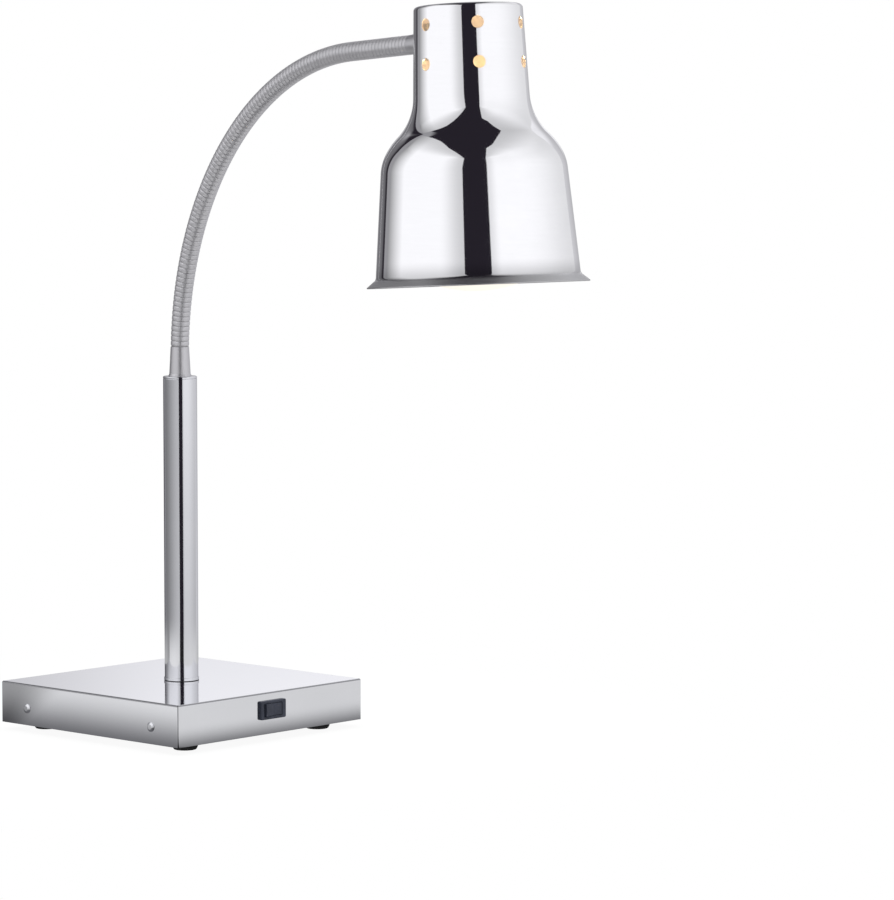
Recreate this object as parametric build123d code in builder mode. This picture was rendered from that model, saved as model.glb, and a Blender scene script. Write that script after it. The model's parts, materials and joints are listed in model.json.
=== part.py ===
"""Food heat lamp: a mirror-finished lamp head on a ribbed gooseneck, carried by a post on a square base.

Millimetres, +Z up. The origin is the middle of the base, on the surface that the rubber feet stand on.
The switch is on the -Y face. The arm leaves the post towards -Y, turned a little towards -X.
"""

import os
from math import asin, cos, degrees, radians, sin, sqrt, tan

from build123d import *

os.makedirs("parts", exist_ok=True)

# Running and seating clearances
slip_gap = 0.05
seat_gap = 0.1
switch_gap = 0.5

# Base housing and what it stands on
base_side = 215.0
skirt_height = 34.8
housing_sheet = 1.2
housing_bend = 1.5
seam_width = 0.3
foot_height = 6.5
foot_radius = 10.5
foot_taper = 1.5
foot_side_inset = 30.0
foot_end_inset = 23.0
foot_screw_radius = 2.0
foot_screw_head_radius = 4.0
foot_screw_head_height = 2.4
foot_screw_length = 11.0
foot_recess = 3.0
foot_recess_gap = 0.5

# Bottom tray and ballast
tray_sheet = 1.5
tray_flange = 24.0
ballast_land = 3.5
ballast_thickness = 10.0
ballast_corner = 3.0

# Side rivets
rivet_inset = 32.0
rivet_rise = 14.2
rivet_radius = 1.6
rivet_head_radius = 4.0
rivet_head_height = 1.6
rivet_crown_radius = 2.2
rivet_tail_radius = 2.6
rivet_tail_height = 1.4

# Rocker switch
switch_rise = 20.3
bezel_lap = 2.0
bezel_brow = 1.05
bezel_stand = 2.5
bezel_corner = 1.2
switch_end_wall = 2.0
switch_side_wall = 1.2
switch_body_reach = 19.0
pocket_width = 21.0
pocket_height = 11.0
pocket_depth = 10.0
rocker_throw = 12.0
rocker_pivot_depth = 3.2
rocker_stand = 1.5
rocker_valley = 1.0
rocker_back = 3.5
pivot_pin_radius = 1.2
pivot_pin_length = 0.8
terminal_width = 4.8
terminal_thickness = 0.8
terminal_length = 9.0
terminal_root = 3.0
terminal_pitch = 7.0

# Cable gland on the back face and the terminal block inside
gland_rise = 17.5
gland_radius = 8.0
gland_bore = 4.0
gland_flange_radius = 11.0
gland_flange = 4.0
gland_dome = 13.0
gland_dome_radius = 7.6
gland_crown = 2.0
gland_crown_radius = 5.5
gland_thread = 10.0
gland_nut_radius = 11.5
gland_nut_thickness = 3.0
block_length = 34.0
block_depth = 17.0
block_height = 12.0
block_poles = 3
block_inset = 33.0
block_screw_radius = 2.2
block_screw_length = 4.0
block_edge = 1.2

# Post
post_radius = 14.3
post_wall = 1.5
post_length = 255.7
collar_height = 2.8
collar_wall = 0.5
bush_height = 22.0
stud_radius = 8.0
stud_drop = 13.5
wire_bore = 4.0
post_washer_radius = 14.0
post_washer_thickness = 2.0
post_nut_radius = 13.5
post_nut_thickness = 8.0
cap_thickness = 2.0
cap_edge = 0.9
cap_plug = 12.0

# Ferrules at the two ends of the hose
ferrule_length = 24.6
ferrule_flare = 1.2
ferrule_lip = 0.7
ferrule_lip_height = 1.4
ferrule_wall = 0.5
ferrule_relief = 0.15
ferrule_mouth_gap = 0.9
ferrule_spigot_radius = 6.0
ferrule_spigot = 10.0
ferrule_floor = 2.0
upper_ferrule_length = 21.5
upper_ferrule_floor = 6.0
upper_ferrule_spigot = 4.0

# Gooseneck: ribs, links and the bend that it stands in
arm_heading = 8.5
hose_radius = 7.7
rib_depth = 0.5
hose_bore = 3.6
rib_pitch = 4.25
ribs_per_link = 9
hose_links = 9
root_ribs = 4
hidden_root_ribs = 2
tip_bend_ribs = 5
tip_straight_ribs = 18
hose_turn = 86.5
link_swing = 8.0
link_spare = 0.16
spigot_play = 0.8
spigot_reach = 2.4
socket_wall = 0.9
socket_depth = 3.6
ramp = 0.15

# Lamp head, measured from the rim up its own axis
rim_radius = 85.5
waist_radius = 78.6
waist_height = 5.7
shoulder_radius = 70.3
shoulder_height = 98.5
neck_root_radius = 45.2
neck_root_height = 132.0
neck_top_radius = 41.6
crown_above_arm = 25.0
shade_sheet = 1.2
rim_flare = 9.0
shoulder_bend = 35.0
neck_bend = 31.0
crown_bend = 3.0
vent_radius = 4.8
vent_columns = 6
vent_rows_from_arm = (9.8, -20.2)

# Arm fixing through the neck
arm_collar_radius = 11.5
arm_collar_stand = 5.9
nipple_radius = 5.0
nipple_bore = 3.2
nipple_inside = 12.0
arm_washer_radius = 9.0
arm_washer_thickness = 3.2
arm_nut_radius = 8.5
arm_nut_thickness = 5.0
arm_nut_clearance = 3.5

# Lamp holder and its bracket
bracket_sheet = 2.0
bracket_width = 24.0
bracket_rise = 14.0
bracket_lip = 1.0
holder_wall = 7.55
holder_roof = 4.95
holder_height = 40.0
holder_mouth_wall = 3.1
holder_screw_radius = 1.9
holder_screw_head_radius = 3.6
holder_screw_head_height = 2.2
holder_screw_length = 10.0
holder_screw_edge = 4.0
shell_wall = 0.5
shell_clearance = 0.3
shell_setback = 2.0
contact_radius = 5.0
contact_height = 2.0

# Infrared reflector bulb
bulb_radius = 62.5
bulb_drop = 5.5
bulb_face_radius = 104.0
bulb_edge_round = 9.0
bulb_side_bend = 31.0
bulb_side_turn = 30.0
bulb_side_length = 67.0
bulb_throat_bend = 20.0
bulb_neck_length = 10.0
bulb_taper_length = 16.0
bulb_seat_length = 8.0
bulb_wall = 1.2
cap_radius = 13.1
cap_wall = 0.6
cap_length = 26.0
cap_tip_radius = 6.0
cap_tip_height = 3.0

# Heights and lengths that follow from the sizes above
skirt_bottom = foot_height
base_top = skirt_bottom + skirt_height
face_out = base_side / 2
foot_spacing = base_side - 2 * foot_side_inset
foot_depth = base_side - 2 * foot_end_inset
ballast_side = foot_depth + 2 * ballast_land
block_place = ballast_side / 2 - block_inset
rivet_spacing = base_side - 2 * rivet_inset
rivet_height = skirt_bottom + rivet_rise
switch_height = skirt_bottom + switch_rise
gland_height = skirt_bottom + gland_rise
switch_body_width = pocket_width + 2 * switch_end_wall
switch_body_height = pocket_height + 2 * switch_side_wall
bezel_width = switch_body_width + 2 * bezel_lap
bezel_depth = switch_body_height + 2 * bezel_brow
ballast_bottom = skirt_bottom + tray_sheet
ballast_top = ballast_bottom + ballast_thickness
post_top = base_top + post_length + cap_thickness
hose_root_radius = hose_radius - rib_depth
socket_radius = hose_root_radius - socket_wall
spigot_radius = socket_radius - spigot_play
ferrule_mouth_radius = hose_root_radius + slip_gap + ferrule_wall
ferrule_foot_radius = ferrule_mouth_radius + ferrule_flare
ferrule_clear = hidden_root_ribs * rib_pitch
hose_straight = ferrule_length + ferrule_mouth_gap - ferrule_clear
link_length = ribs_per_link * rib_pitch
bend_ribs = root_ribs + hose_links * ribs_per_link + tip_bend_ribs
bend_length = bend_ribs * rib_pitch
bend_radius = bend_length / radians(hose_turn)
bend_start = post_top + hose_straight
tip_mouth = bend_length + tip_straight_ribs * rib_pitch

# Heights up the head's axis: the bulb carries the holder, and the holder's shelf carries the arm's fixing
face_share = (bulb_radius - bulb_edge_round) / (bulb_face_radius - bulb_edge_round)
bulb_widest = bulb_face_radius - (bulb_face_radius - bulb_edge_round) * sqrt(1 - face_share**2) - bulb_drop
bulb_side_rise = bulb_side_length * cos(radians(bulb_side_turn))
bulb_bend_rise = (bulb_side_bend + bulb_throat_bend) * sin(radians(bulb_side_turn))
bulb_throat_top = bulb_widest + bulb_bend_rise + bulb_side_rise + bulb_neck_length
bulb_neck_top = bulb_throat_top + bulb_taper_length
cap_height = bulb_neck_top + bulb_seat_length
cap_top = cap_height + cap_length
contact_bottom = cap_top + cap_tip_height + slip_gap
holder_floor = contact_bottom + contact_height
bracket_shelf_height = holder_floor + holder_roof
arm_height_on_head = bracket_shelf_height + bracket_sheet + arm_nut_clearance + arm_nut_radius
shade_height = arm_height_on_head + crown_above_arm

# Directions of the arm: outwards, and square to its plane
arm_out = Vector(-sin(radians(arm_heading)), -cos(radians(arm_heading)), 0)
arm_side = Vector(cos(radians(arm_heading)), -sin(radians(arm_heading)), 0)
upward = Vector(0, 0, 1)


def save(piece, name):
    """Label a finished piece and write it as its own file."""
    piece.part.label = name
    export_step(piece.part, f"parts/{name}.step")


def side_plane(base):
    """Plane through a base plane's axis: x runs outwards from the axis and y along it."""
    return Plane(origin=base.origin, x_dir=base.x_dir, z_dir=-base.y_dir)


def turned(base, outline):
    """Solid of revolution about a base plane's axis, from corners given as (radius, height)."""
    with BuildPart() as piece:
        with BuildSketch(side_plane(base)):
            with BuildLine():
                Polyline(*outline, close=True)
            make_face()
        revolve(axis=Axis(base.origin, base.z_dir))
    return piece


def ring(base, outer, inner, height):
    """Plain washer or sleeve that stands on a base plane."""
    return turned(base, [(inner, 0), (outer, 0), (outer, height), (inner, height)])


def hex_nut(base, radius, inner, height):
    """Hexagon nut with a plain bore that stands on a base plane."""
    with BuildPart() as piece:
        with BuildSketch(base):
            RegularPolygon(radius, 6)
            Circle(inner, mode=Mode.SUBTRACT)
        extrude(amount=height)
    return piece


def hose_plane(distance):
    """Plane square to the hose's centreline, at a distance along it from where the bend starts."""
    turn = min(max(distance, 0.0), bend_length) / bend_radius
    overrun = distance - turn * bend_radius
    along = arm_out * sin(turn) + upward * cos(turn)
    reach = bend_radius * (1 - cos(turn))
    height = bend_start + bend_radius * sin(turn)
    return Plane(origin=arm_out * reach + upward * height + along * overrun, x_dir=arm_side, z_dir=along)


# Base housing: one sheet folded down on four sides, with an open seam at each corner
switch_face = Plane(origin=(0, -face_out, switch_height), x_dir=(1, 0, 0), z_dir=(0, -1, 0))
back_face = Plane(origin=(0, face_out, gland_height), x_dir=(-1, 0, 0), z_dir=(0, 1, 0))
with BuildPart() as base_housing:
    with BuildSketch(Plane.XY.offset(skirt_bottom)):
        Rectangle(base_side, base_side)
    extrude(amount=skirt_height)
    fillet(base_housing.faces().sort_by(Axis.Z)[-1].edges(), housing_bend)
    offset(amount=-housing_sheet, openings=base_housing.faces().sort_by(Axis.Z)[0])
    with BuildSketch(Plane.XY.offset(skirt_bottom)):
        with PolarLocations(base_side / sqrt(2), 4, start_angle=45):
            Rectangle(4 * housing_sheet, seam_width)
    extrude(amount=skirt_height - housing_bend, mode=Mode.SUBTRACT)
    with BuildSketch(Plane.XY.offset(base_top)):
        Circle(stud_radius + slip_gap)
    extrude(amount=-2 * housing_sheet, mode=Mode.SUBTRACT)
    with BuildSketch(switch_face):
        Rectangle(switch_body_width + 2 * slip_gap, switch_body_height + 2 * slip_gap)
    extrude(amount=-2 * housing_sheet, mode=Mode.SUBTRACT)
    with BuildSketch(back_face):
        Circle(gland_radius + slip_gap)
    extrude(amount=-2 * housing_sheet, mode=Mode.SUBTRACT)
    with BuildSketch(Plane.YZ.offset(-face_out)):
        with Locations((-rivet_spacing / 2, rivet_height), (rivet_spacing / 2, rivet_height)):
            Circle(rivet_radius + slip_gap)
    extrude(amount=base_side, mode=Mode.SUBTRACT)
save(base_housing, "base_housing")

# Bottom tray: a plate with two flanges turned up inside the housing's left and right walls
tray_width = base_side - 2 * housing_sheet - 2 * slip_gap
tray_depth = base_side - 2 * housing_sheet - 2 * seat_gap
with BuildPart() as base_plate:
    with BuildSketch(Plane.XZ):
        with BuildLine():
            tray_outline = Polyline(
                (-tray_width / 2, skirt_bottom + tray_flange),
                (-tray_width / 2, skirt_bottom),
                (tray_width / 2, skirt_bottom),
                (tray_width / 2, skirt_bottom + tray_flange),
            )
            offset(tray_outline, amount=tray_sheet, side=Side.LEFT)
        make_face()
    extrude(amount=tray_depth / 2, both=True)
    with BuildSketch(Plane.XY.offset(skirt_bottom)):
        with GridLocations(foot_spacing, foot_depth, 2, 2):
            Circle(foot_screw_radius + slip_gap)
    extrude(amount=2 * tray_sheet, mode=Mode.SUBTRACT)
    with BuildSketch(Plane.YZ.offset(-face_out)):
        with Locations((-rivet_spacing / 2, rivet_height), (rivet_spacing / 2, rivet_height)):
            Circle(rivet_radius + slip_gap)
    extrude(amount=base_side, mode=Mode.SUBTRACT)
save(base_plate, "base_plate")

# Ballast: a steel slab on the tray that keeps the overhanging head from tipping the lamp
with BuildPart() as ballast_plate:
    with BuildSketch(Plane.XY.offset(ballast_bottom)):
        RectangleRounded(ballast_side, ballast_side, ballast_corner)
        with GridLocations(foot_spacing, foot_depth, 2, 2):
            Circle(foot_screw_radius + slip_gap, mode=Mode.SUBTRACT)
    extrude(amount=ballast_thickness)
save(ballast_plate, "ballast_plate")

# Rivets: low round heads outside, flattened tails inside the tray's flanges
grip = housing_sheet + slip_gap + tray_sheet
rivet = turned(
    Plane.XY,
    [
        (0, rivet_head_height),
        (rivet_crown_radius, rivet_head_height),
        (rivet_head_radius, 0),
        (rivet_radius, 0),
        (rivet_radius, -grip),
        (rivet_tail_radius, -grip),
        (rivet_tail_radius, -grip - rivet_tail_height),
        (0, -grip - rivet_tail_height),
    ],
)
with BuildPart() as side_rivets:
    for way in (-1, 1):
        for place in (-rivet_spacing / 2, rivet_spacing / 2):
            with Locations(Plane(origin=(way * face_out, place, rivet_height), z_dir=(way, 0, 0))):
                add(rivet.part)
save(side_rivets, "side_rivets")

# Rubber feet, each with a recess for its screw
foot_names = {
    "foot_front_left": (-1, -1),
    "foot_front_right": (1, -1),
    "foot_rear_left": (-1, 1),
    "foot_rear_right": (1, 1),
}
recess_radius = foot_screw_head_radius + foot_recess_gap
for name, (way_x, way_y) in foot_names.items():
    stand = Plane.XY.move(Location((way_x * foot_spacing / 2, way_y * foot_depth / 2, 0)))
    foot = turned(
        stand,
        [
            (recess_radius, 0),
            (foot_radius - foot_taper, 0),
            (foot_radius, foot_taper),
            (foot_radius, foot_height),
            (foot_screw_radius + slip_gap, foot_height),
            (foot_screw_radius + slip_gap, foot_recess),
            (recess_radius, foot_recess),
        ],
    )
    save(foot, name)

# Foot screws: heads up in the recesses, shanks through the tray into the ballast
with BuildPart() as foot_screws:
    with BuildSketch(Plane.XY.offset(foot_recess)):
        with GridLocations(foot_spacing, foot_depth, 2, 2):
            Circle(foot_screw_head_radius)
    extrude(amount=-foot_screw_head_height)
    with BuildSketch(Plane.XY.offset(foot_recess)):
        with GridLocations(foot_spacing, foot_depth, 2, 2):
            Circle(foot_screw_radius)
    extrude(amount=foot_screw_length)
save(foot_screws, "foot_screws")

# Switch: a bezel that stands off the panel, with a pocket for the rocker and a body behind the panel
bezel_front = switch_face.offset(bezel_stand)
pivot_y = -face_out - bezel_stand + rocker_pivot_depth
with BuildPart() as switch_body:
    with BuildSketch(switch_face):
        RectangleRounded(bezel_width, bezel_depth, bezel_corner)
    extrude(amount=bezel_stand)
    fillet(switch_body.faces().sort_by(Axis.Y)[0].edges(), bezel_corner / 2)
    with BuildSketch(switch_face):
        Rectangle(switch_body_width, switch_body_height)
    extrude(amount=-switch_body_reach)
    with BuildSketch(bezel_front):
        Rectangle(pocket_width, pocket_height)
    extrude(amount=-pocket_depth, mode=Mode.SUBTRACT)
    with BuildSketch(Plane.XY.offset(switch_height)):
        with Locations((0, pivot_y)):
            Circle(pivot_pin_radius + slip_gap)
    extrude(amount=pocket_height / 2 + pivot_pin_length, both=True, mode=Mode.SUBTRACT)
    with BuildSketch(switch_face.offset(-switch_body_reach)):
        with GridLocations(terminal_pitch, 0, 3, 1):
            Rectangle(terminal_thickness + 2 * slip_gap, terminal_width + 2 * slip_gap)
    extrude(amount=terminal_root, mode=Mode.SUBTRACT)
save(switch_body, "switch_body")

# Rocker: two flats that meet in a valley, on a pin that stands upright; its right half is pressed in
rocker_half = pocket_width / 2 - switch_gap
rocker_height = pocket_height - switch_gap
rocker_rest = Plane(
    origin=(0, pivot_y, switch_height),
    x_dir=(cos(radians(rocker_throw / 2)), sin(radians(rocker_throw / 2)), 0),
    z_dir=(0, 0, 1),
)
rocker_front = rocker_pivot_depth + rocker_stand
with BuildPart() as switch_rocker:
    with BuildSketch(rocker_rest):
        with BuildLine():
            Polyline(
                (-rocker_half, -rocker_front + rocker_valley),
                (0, -rocker_front + 2 * rocker_valley),
                (rocker_half, -rocker_front + rocker_valley),
                (rocker_half - switch_gap, 0),
                (pivot_pin_radius + switch_gap, rocker_back),
                (-pivot_pin_radius - switch_gap, rocker_back),
                (-rocker_half + switch_gap, 0),
                close=True,
            )
        make_face()
    extrude(amount=rocker_height / 2, both=True)
    with BuildSketch(rocker_rest):
        Circle(pivot_pin_radius)
    extrude(amount=pocket_height / 2 + pivot_pin_length - seat_gap, both=True)
save(switch_rocker, "switch_rocker")

# Spade terminals behind the switch
with BuildPart() as switch_terminals:
    with BuildSketch(switch_face.offset(-switch_body_reach + terminal_root)):
        with GridLocations(terminal_pitch, 0, 3, 1):
            Rectangle(terminal_thickness, terminal_width)
    extrude(amount=-terminal_length)
save(switch_terminals, "switch_terminals")

# Cable gland: flange and dome outside the back face, thread through it, and a nut inside
cable_gland = turned(
    back_face,
    [
        (gland_bore, -gland_thread),
        (gland_radius, -gland_thread),
        (gland_radius, 0),
        (gland_flange_radius, 0),
        (gland_flange_radius, gland_flange),
        (gland_dome_radius, gland_flange),
        (gland_dome_radius, gland_dome - gland_crown),
        (gland_crown_radius, gland_dome),
        (gland_bore, gland_dome),
    ],
)
save(cable_gland, "cable_gland")
gland_nut_face = back_face.offset(-housing_sheet - gland_nut_thickness)
gland_nut = hex_nut(gland_nut_face, gland_nut_radius, gland_radius + slip_gap, gland_nut_thickness)
save(gland_nut, "gland_nut")

# Terminal block on the ballast, with one wire way and one screw for each pole
pole_pitch = block_length / block_poles
block_plane = Plane.XY.move(Location((0, block_place, ballast_top)))
with BuildPart() as terminal_block:
    with BuildSketch(block_plane):
        Rectangle(block_length, block_depth)
    extrude(amount=block_height)
    chamfer(terminal_block.edges().filter_by(Axis.X).group_by(Axis.Z)[-1], block_edge)
    with BuildSketch(block_plane.offset(block_height)):
        with GridLocations(pole_pitch, 0, block_poles, 1):
            Circle(block_screw_radius + seat_gap)
    extrude(amount=-block_height / 2, mode=Mode.SUBTRACT)
save(terminal_block, "terminal_block")
with BuildPart() as terminal_screws:
    with BuildSketch(block_plane.offset(block_height / 2)):
        with GridLocations(pole_pitch, 0, block_poles, 1):
            Circle(block_screw_radius)
    extrude(amount=block_screw_length)
save(terminal_screws, "terminal_screws")

# Post, with a thin collar round its foot
base_deck = Plane.XY.offset(base_top)
post_inner = post_radius - post_wall
post_tube = ring(base_deck, post_radius, post_inner, post_length)
save(post_tube, "post_tube")
post_collar = turned(
    base_deck,
    [
        (post_radius + slip_gap, 0),
        (post_radius + collar_wall, 0),
        (post_radius + collar_wall, collar_height - collar_wall / 2),
        (post_radius + collar_wall / 2, collar_height),
        (post_radius + slip_gap, collar_height),
    ],
)
save(post_collar, "post_collar")

# Bush in the foot of the post, with a hollow stud down through the housing, a washer and a nut
post_bush = turned(
    base_deck,
    [
        (wire_bore, -stud_drop),
        (stud_radius, -stud_drop),
        (stud_radius, 0),
        (post_inner - slip_gap, 0),
        (post_inner - slip_gap, bush_height),
        (wire_bore, bush_height),
    ],
)
save(post_bush, "post_bush")
washer_plane = base_deck.offset(-housing_sheet - post_washer_thickness)
post_washer = ring(washer_plane, post_washer_radius, stud_radius + slip_gap, post_washer_thickness)
save(post_washer, "post_washer")
post_nut_face = washer_plane.offset(-post_nut_thickness)
post_nut = hex_nut(post_nut_face, post_nut_radius, stud_radius + slip_gap, post_nut_thickness)
save(post_nut, "post_nut")

# Cap on the post: a plug with a rounded edge, bored for the ferrule's spigot
cap_plane = Plane.XY.offset(post_top)
with BuildPart() as post_cap:
    with BuildSketch(cap_plane):
        Circle(post_radius)
    extrude(amount=-cap_thickness)
    fillet(post_cap.faces().sort_by(Axis.Z)[-1].edges(), cap_edge)
    with BuildSketch(cap_plane.offset(-cap_thickness)):
        Circle(post_inner - slip_gap)
    extrude(amount=-cap_plug)
    with BuildSketch(cap_plane):
        Circle(ferrule_spigot_radius + slip_gap)
    extrude(amount=-cap_thickness - cap_plug, mode=Mode.SUBTRACT)
save(post_cap, "post_cap")


def ferrule(base, length, floor, spigot, bore):
    """Tapered sleeve on a base plane: a lip at its foot, a spigot below, a bore eased towards its mouth."""
    hose_seat = hose_root_radius + slip_gap
    return turned(
        base,
        [
            (bore, -spigot),
            (ferrule_spigot_radius, -spigot),
            (ferrule_spigot_radius, 0),
            (ferrule_foot_radius + ferrule_lip, 0),
            (ferrule_foot_radius, ferrule_lip_height),
            (ferrule_mouth_radius, length),
            (hose_seat + ferrule_relief, length),
            (hose_seat, floor),
            (bore, floor),
        ],
    )


lower_ferrule = ferrule(cap_plane, ferrule_length, ferrule_floor, ferrule_spigot, wire_bore)
save(lower_ferrule, "lower_ferrule")


def hose_loft(sections):
    """Ruled loft through circles square to the centreline, given as (distance along the hose, radius)."""
    with BuildPart() as tube:
        for distance, radius in sections:
            with BuildSketch(hose_plane(distance)):
                Circle(radius)
        loft(ruled=True)
    return tube


def rib_sections(start, ribs):
    """Corners of a run of ribs: up to the crest and down to the root again, once each."""
    corners = []
    for rib in range(ribs):
        foot = start + rib * rib_pitch
        corners += [(foot + groove_half, hose_radius), (foot + rib_pitch - groove_half, hose_radius)]
        corners += [(foot + rib_pitch, hose_root_radius)]
    return corners[:-1]


# A joint's two end faces slope back from its centre, so that they clear each other at full swing
groove_half = hose_radius * tan(radians(link_swing / 2)) + link_spare
root_setback = hose_root_radius * tan(radians(link_swing / 2)) + link_spare
spigot_setback = spigot_radius * tan(radians(link_swing / 2)) + link_spare


def socket_end(joint):
    """Bore sections of the end of a link that takes the spigot of the link before it."""
    floor = joint + socket_depth
    return [(joint - ramp, socket_radius), (floor, socket_radius), (floor + ramp, hose_bore)]


def spigot_end(joint):
    """Outer sections of the end of a link that goes into the socket of the next."""
    return [
        (joint - root_setback, hose_root_radius),
        (joint - spigot_setback, spigot_radius),
        (joint + spigot_reach, spigot_radius),
    ]


def hose_piece(outside, inside):
    """A length of hose from its outer sections and the sections of its bore."""
    core = hose_loft(inside)
    piece = hose_loft(outside)
    with BuildPart() as bored:
        add(piece.part)
        add(core.part, mode=Mode.SUBTRACT)
    return bored


# Root of the hose: a plain end in the lower ferrule, then the first ribs
hose_foot = -hose_straight + ferrule_floor + slip_gap
root_joint = root_ribs * rib_pitch
hose_root = hose_piece(
    [(hose_foot, hose_root_radius), (0, hose_root_radius), (ferrule_clear, hose_root_radius)]
    + rib_sections(ferrule_clear, root_ribs - hidden_root_ribs)
    + spigot_end(root_joint),
    [(hose_foot - ramp, hose_bore), (0, hose_bore), (root_joint + 2 * spigot_reach, hose_bore)],
)
save(hose_root, "hose_root")

# Links of the hose, each with a socket at its lower end and a spigot at its upper end
for link in range(hose_links):
    start = root_joint + link * link_length
    end = start + link_length
    hose_link = hose_piece(
        [(start + root_setback, hose_root_radius)] + rib_sections(start, ribs_per_link) + spigot_end(end),
        socket_end(start) + [(start + link_length / 2, hose_bore), (end + 2 * spigot_reach, hose_bore)],
    )
    save(hose_link, f"hose_link_{link + 1}")

# Tip of the hose: the last ribs, a straight run and a plain end in the upper ferrule
tip_joint = root_joint + hose_links * link_length
tip_end = tip_mouth + upper_ferrule_length - upper_ferrule_floor - slip_gap
hose_tip = hose_piece(
    [(tip_joint + root_setback, hose_root_radius)]
    + rib_sections(tip_joint, tip_bend_ribs + tip_straight_ribs)
    + [(tip_mouth, hose_root_radius), (tip_end, hose_root_radius)],
    socket_end(tip_joint) + [(bend_length, hose_bore), (tip_end + ramp, hose_bore)],
)
save(hose_tip, "hose_tip")


def neck_radius(height):
    """Outer radius of the neck at a height above the rim."""
    share = (height - neck_root_height) / (shade_height - neck_root_height)
    return neck_root_radius + share * (neck_top_radius - neck_root_radius)


# Head frame: its axis is square to the end of the arm, and x points outwards along the arm
collar_span = arm_collar_stand + neck_radius(arm_height_on_head)
arm_to_head_axis = tip_mouth - bend_length + upper_ferrule_length + collar_span
arm_end = hose_plane(bend_length)
arm_along = arm_end.z_dir
head_axis_point = arm_end.origin + arm_along * arm_to_head_axis
head_up = arm_side.cross(arm_along) * -1
head = Plane(origin=head_axis_point - head_up * arm_height_on_head, x_dir=arm_along, z_dir=head_up)
head_axis = Axis(head.origin, head.z_dir)

# Shade: a spun shell with a flared rim, a shoulder, a tapered neck and a closed crown
with BuildPart() as shade:
    with BuildSketch(side_plane(head)):
        with BuildLine():
            wall = FilletPolyline(
                (rim_radius, 0),
                (waist_radius, waist_height),
                (shoulder_radius, shoulder_height),
                (neck_root_radius, neck_root_height),
                (neck_top_radius, shade_height),
                (0, shade_height),
                radius=(rim_flare, shoulder_bend, neck_bend, crown_bend),
            )
            Polyline(wall @ 1, (0, 0), wall @ 0)
        make_face()
    revolve(axis=head_axis)
    offset(amount=-shade_sheet, openings=shade.faces().sort_by(head_axis)[0])
    for row in vent_rows_from_arm:
        row_height = arm_height_on_head + row
        for column in range(vent_columns):
            turn = 360 * (column + 0.5) / vent_columns
            outward = head.x_dir * cos(radians(turn)) + head.y_dir * sin(radians(turn))
            with BuildSketch(Plane(head.origin + head_up * row_height, x_dir=head_up, z_dir=outward)):
                Circle(vent_radius)
            extrude(amount=2 * neck_radius(row_height), mode=Mode.SUBTRACT)
    with BuildSketch(Plane(origin=head_axis_point, x_dir=arm_side, z_dir=-arm_along)):
        Circle(nipple_radius + slip_gap)
    extrude(amount=2 * neck_radius(arm_height_on_head), mode=Mode.SUBTRACT)
save(shade, "shade")

# Solids of the neck's outside and inside, for pieces that seat on its curve
neck_reach = 2 * arm_collar_radius
neck_low = arm_height_on_head - neck_reach
neck_high = arm_height_on_head + neck_reach


def neck_core(inset):
    """Cone that follows the neck near the arm, set in from its outer face."""
    corners = [(0, neck_low), (neck_radius(neck_low) - inset, neck_low)]
    corners += [(neck_radius(neck_high) - inset, neck_high), (0, neck_high)]
    return turned(head, corners)


neck_outside = neck_core(-slip_gap)
neck_inside = neck_core(shade_sheet + slip_gap)

# Upper ferrule, turned round so that its mouth meets the hose
ferrule_foot = hose_plane(tip_mouth + upper_ferrule_length)
ferrule_back = Plane(origin=ferrule_foot.origin, x_dir=ferrule_foot.x_dir, z_dir=-ferrule_foot.z_dir)
upper_ferrule = ferrule(
    ferrule_back, upper_ferrule_length, upper_ferrule_floor, upper_ferrule_spigot, nipple_radius + slip_gap
)
save(upper_ferrule, "upper_ferrule")

# Collar between the ferrule and the neck, hollowed to sit on the neck's curve
with BuildPart() as arm_collar:
    with BuildSketch(ferrule_foot):
        Circle(arm_collar_radius)
        Circle(ferrule_spigot_radius + slip_gap, mode=Mode.SUBTRACT)
    extrude(amount=collar_span)
    add(neck_outside.part, mode=Mode.SUBTRACT)
save(arm_collar, "arm_collar")

# Hollow nipple from the ferrule's floor through the neck, with what clamps it inside
wall_inside = neck_radius(arm_height_on_head) - shade_sheet - slip_gap
inward = Plane(origin=head_axis_point, x_dir=arm_side, z_dir=arm_along)
nipple_length = upper_ferrule_floor + collar_span - wall_inside + nipple_inside
arm_nipple = ring(ferrule_foot.offset(-upper_ferrule_floor), nipple_radius, nipple_bore, nipple_length)
save(arm_nipple, "arm_nipple")
washer_face = inward.offset(arm_washer_thickness - wall_inside)
with BuildPart() as arm_washer:
    with BuildSketch(washer_face):
        Circle(arm_washer_radius)
        Circle(nipple_radius + slip_gap, mode=Mode.SUBTRACT)
    extrude(amount=-2 * arm_washer_thickness)
    add(neck_inside.part, mode=Mode.INTERSECT)
save(arm_washer, "arm_washer")
arm_nut_face = washer_face.offset(bracket_sheet)
arm_nut = hex_nut(arm_nut_face, arm_nut_radius, nipple_radius + slip_gap, arm_nut_thickness)
save(arm_nut, "arm_nut")

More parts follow.
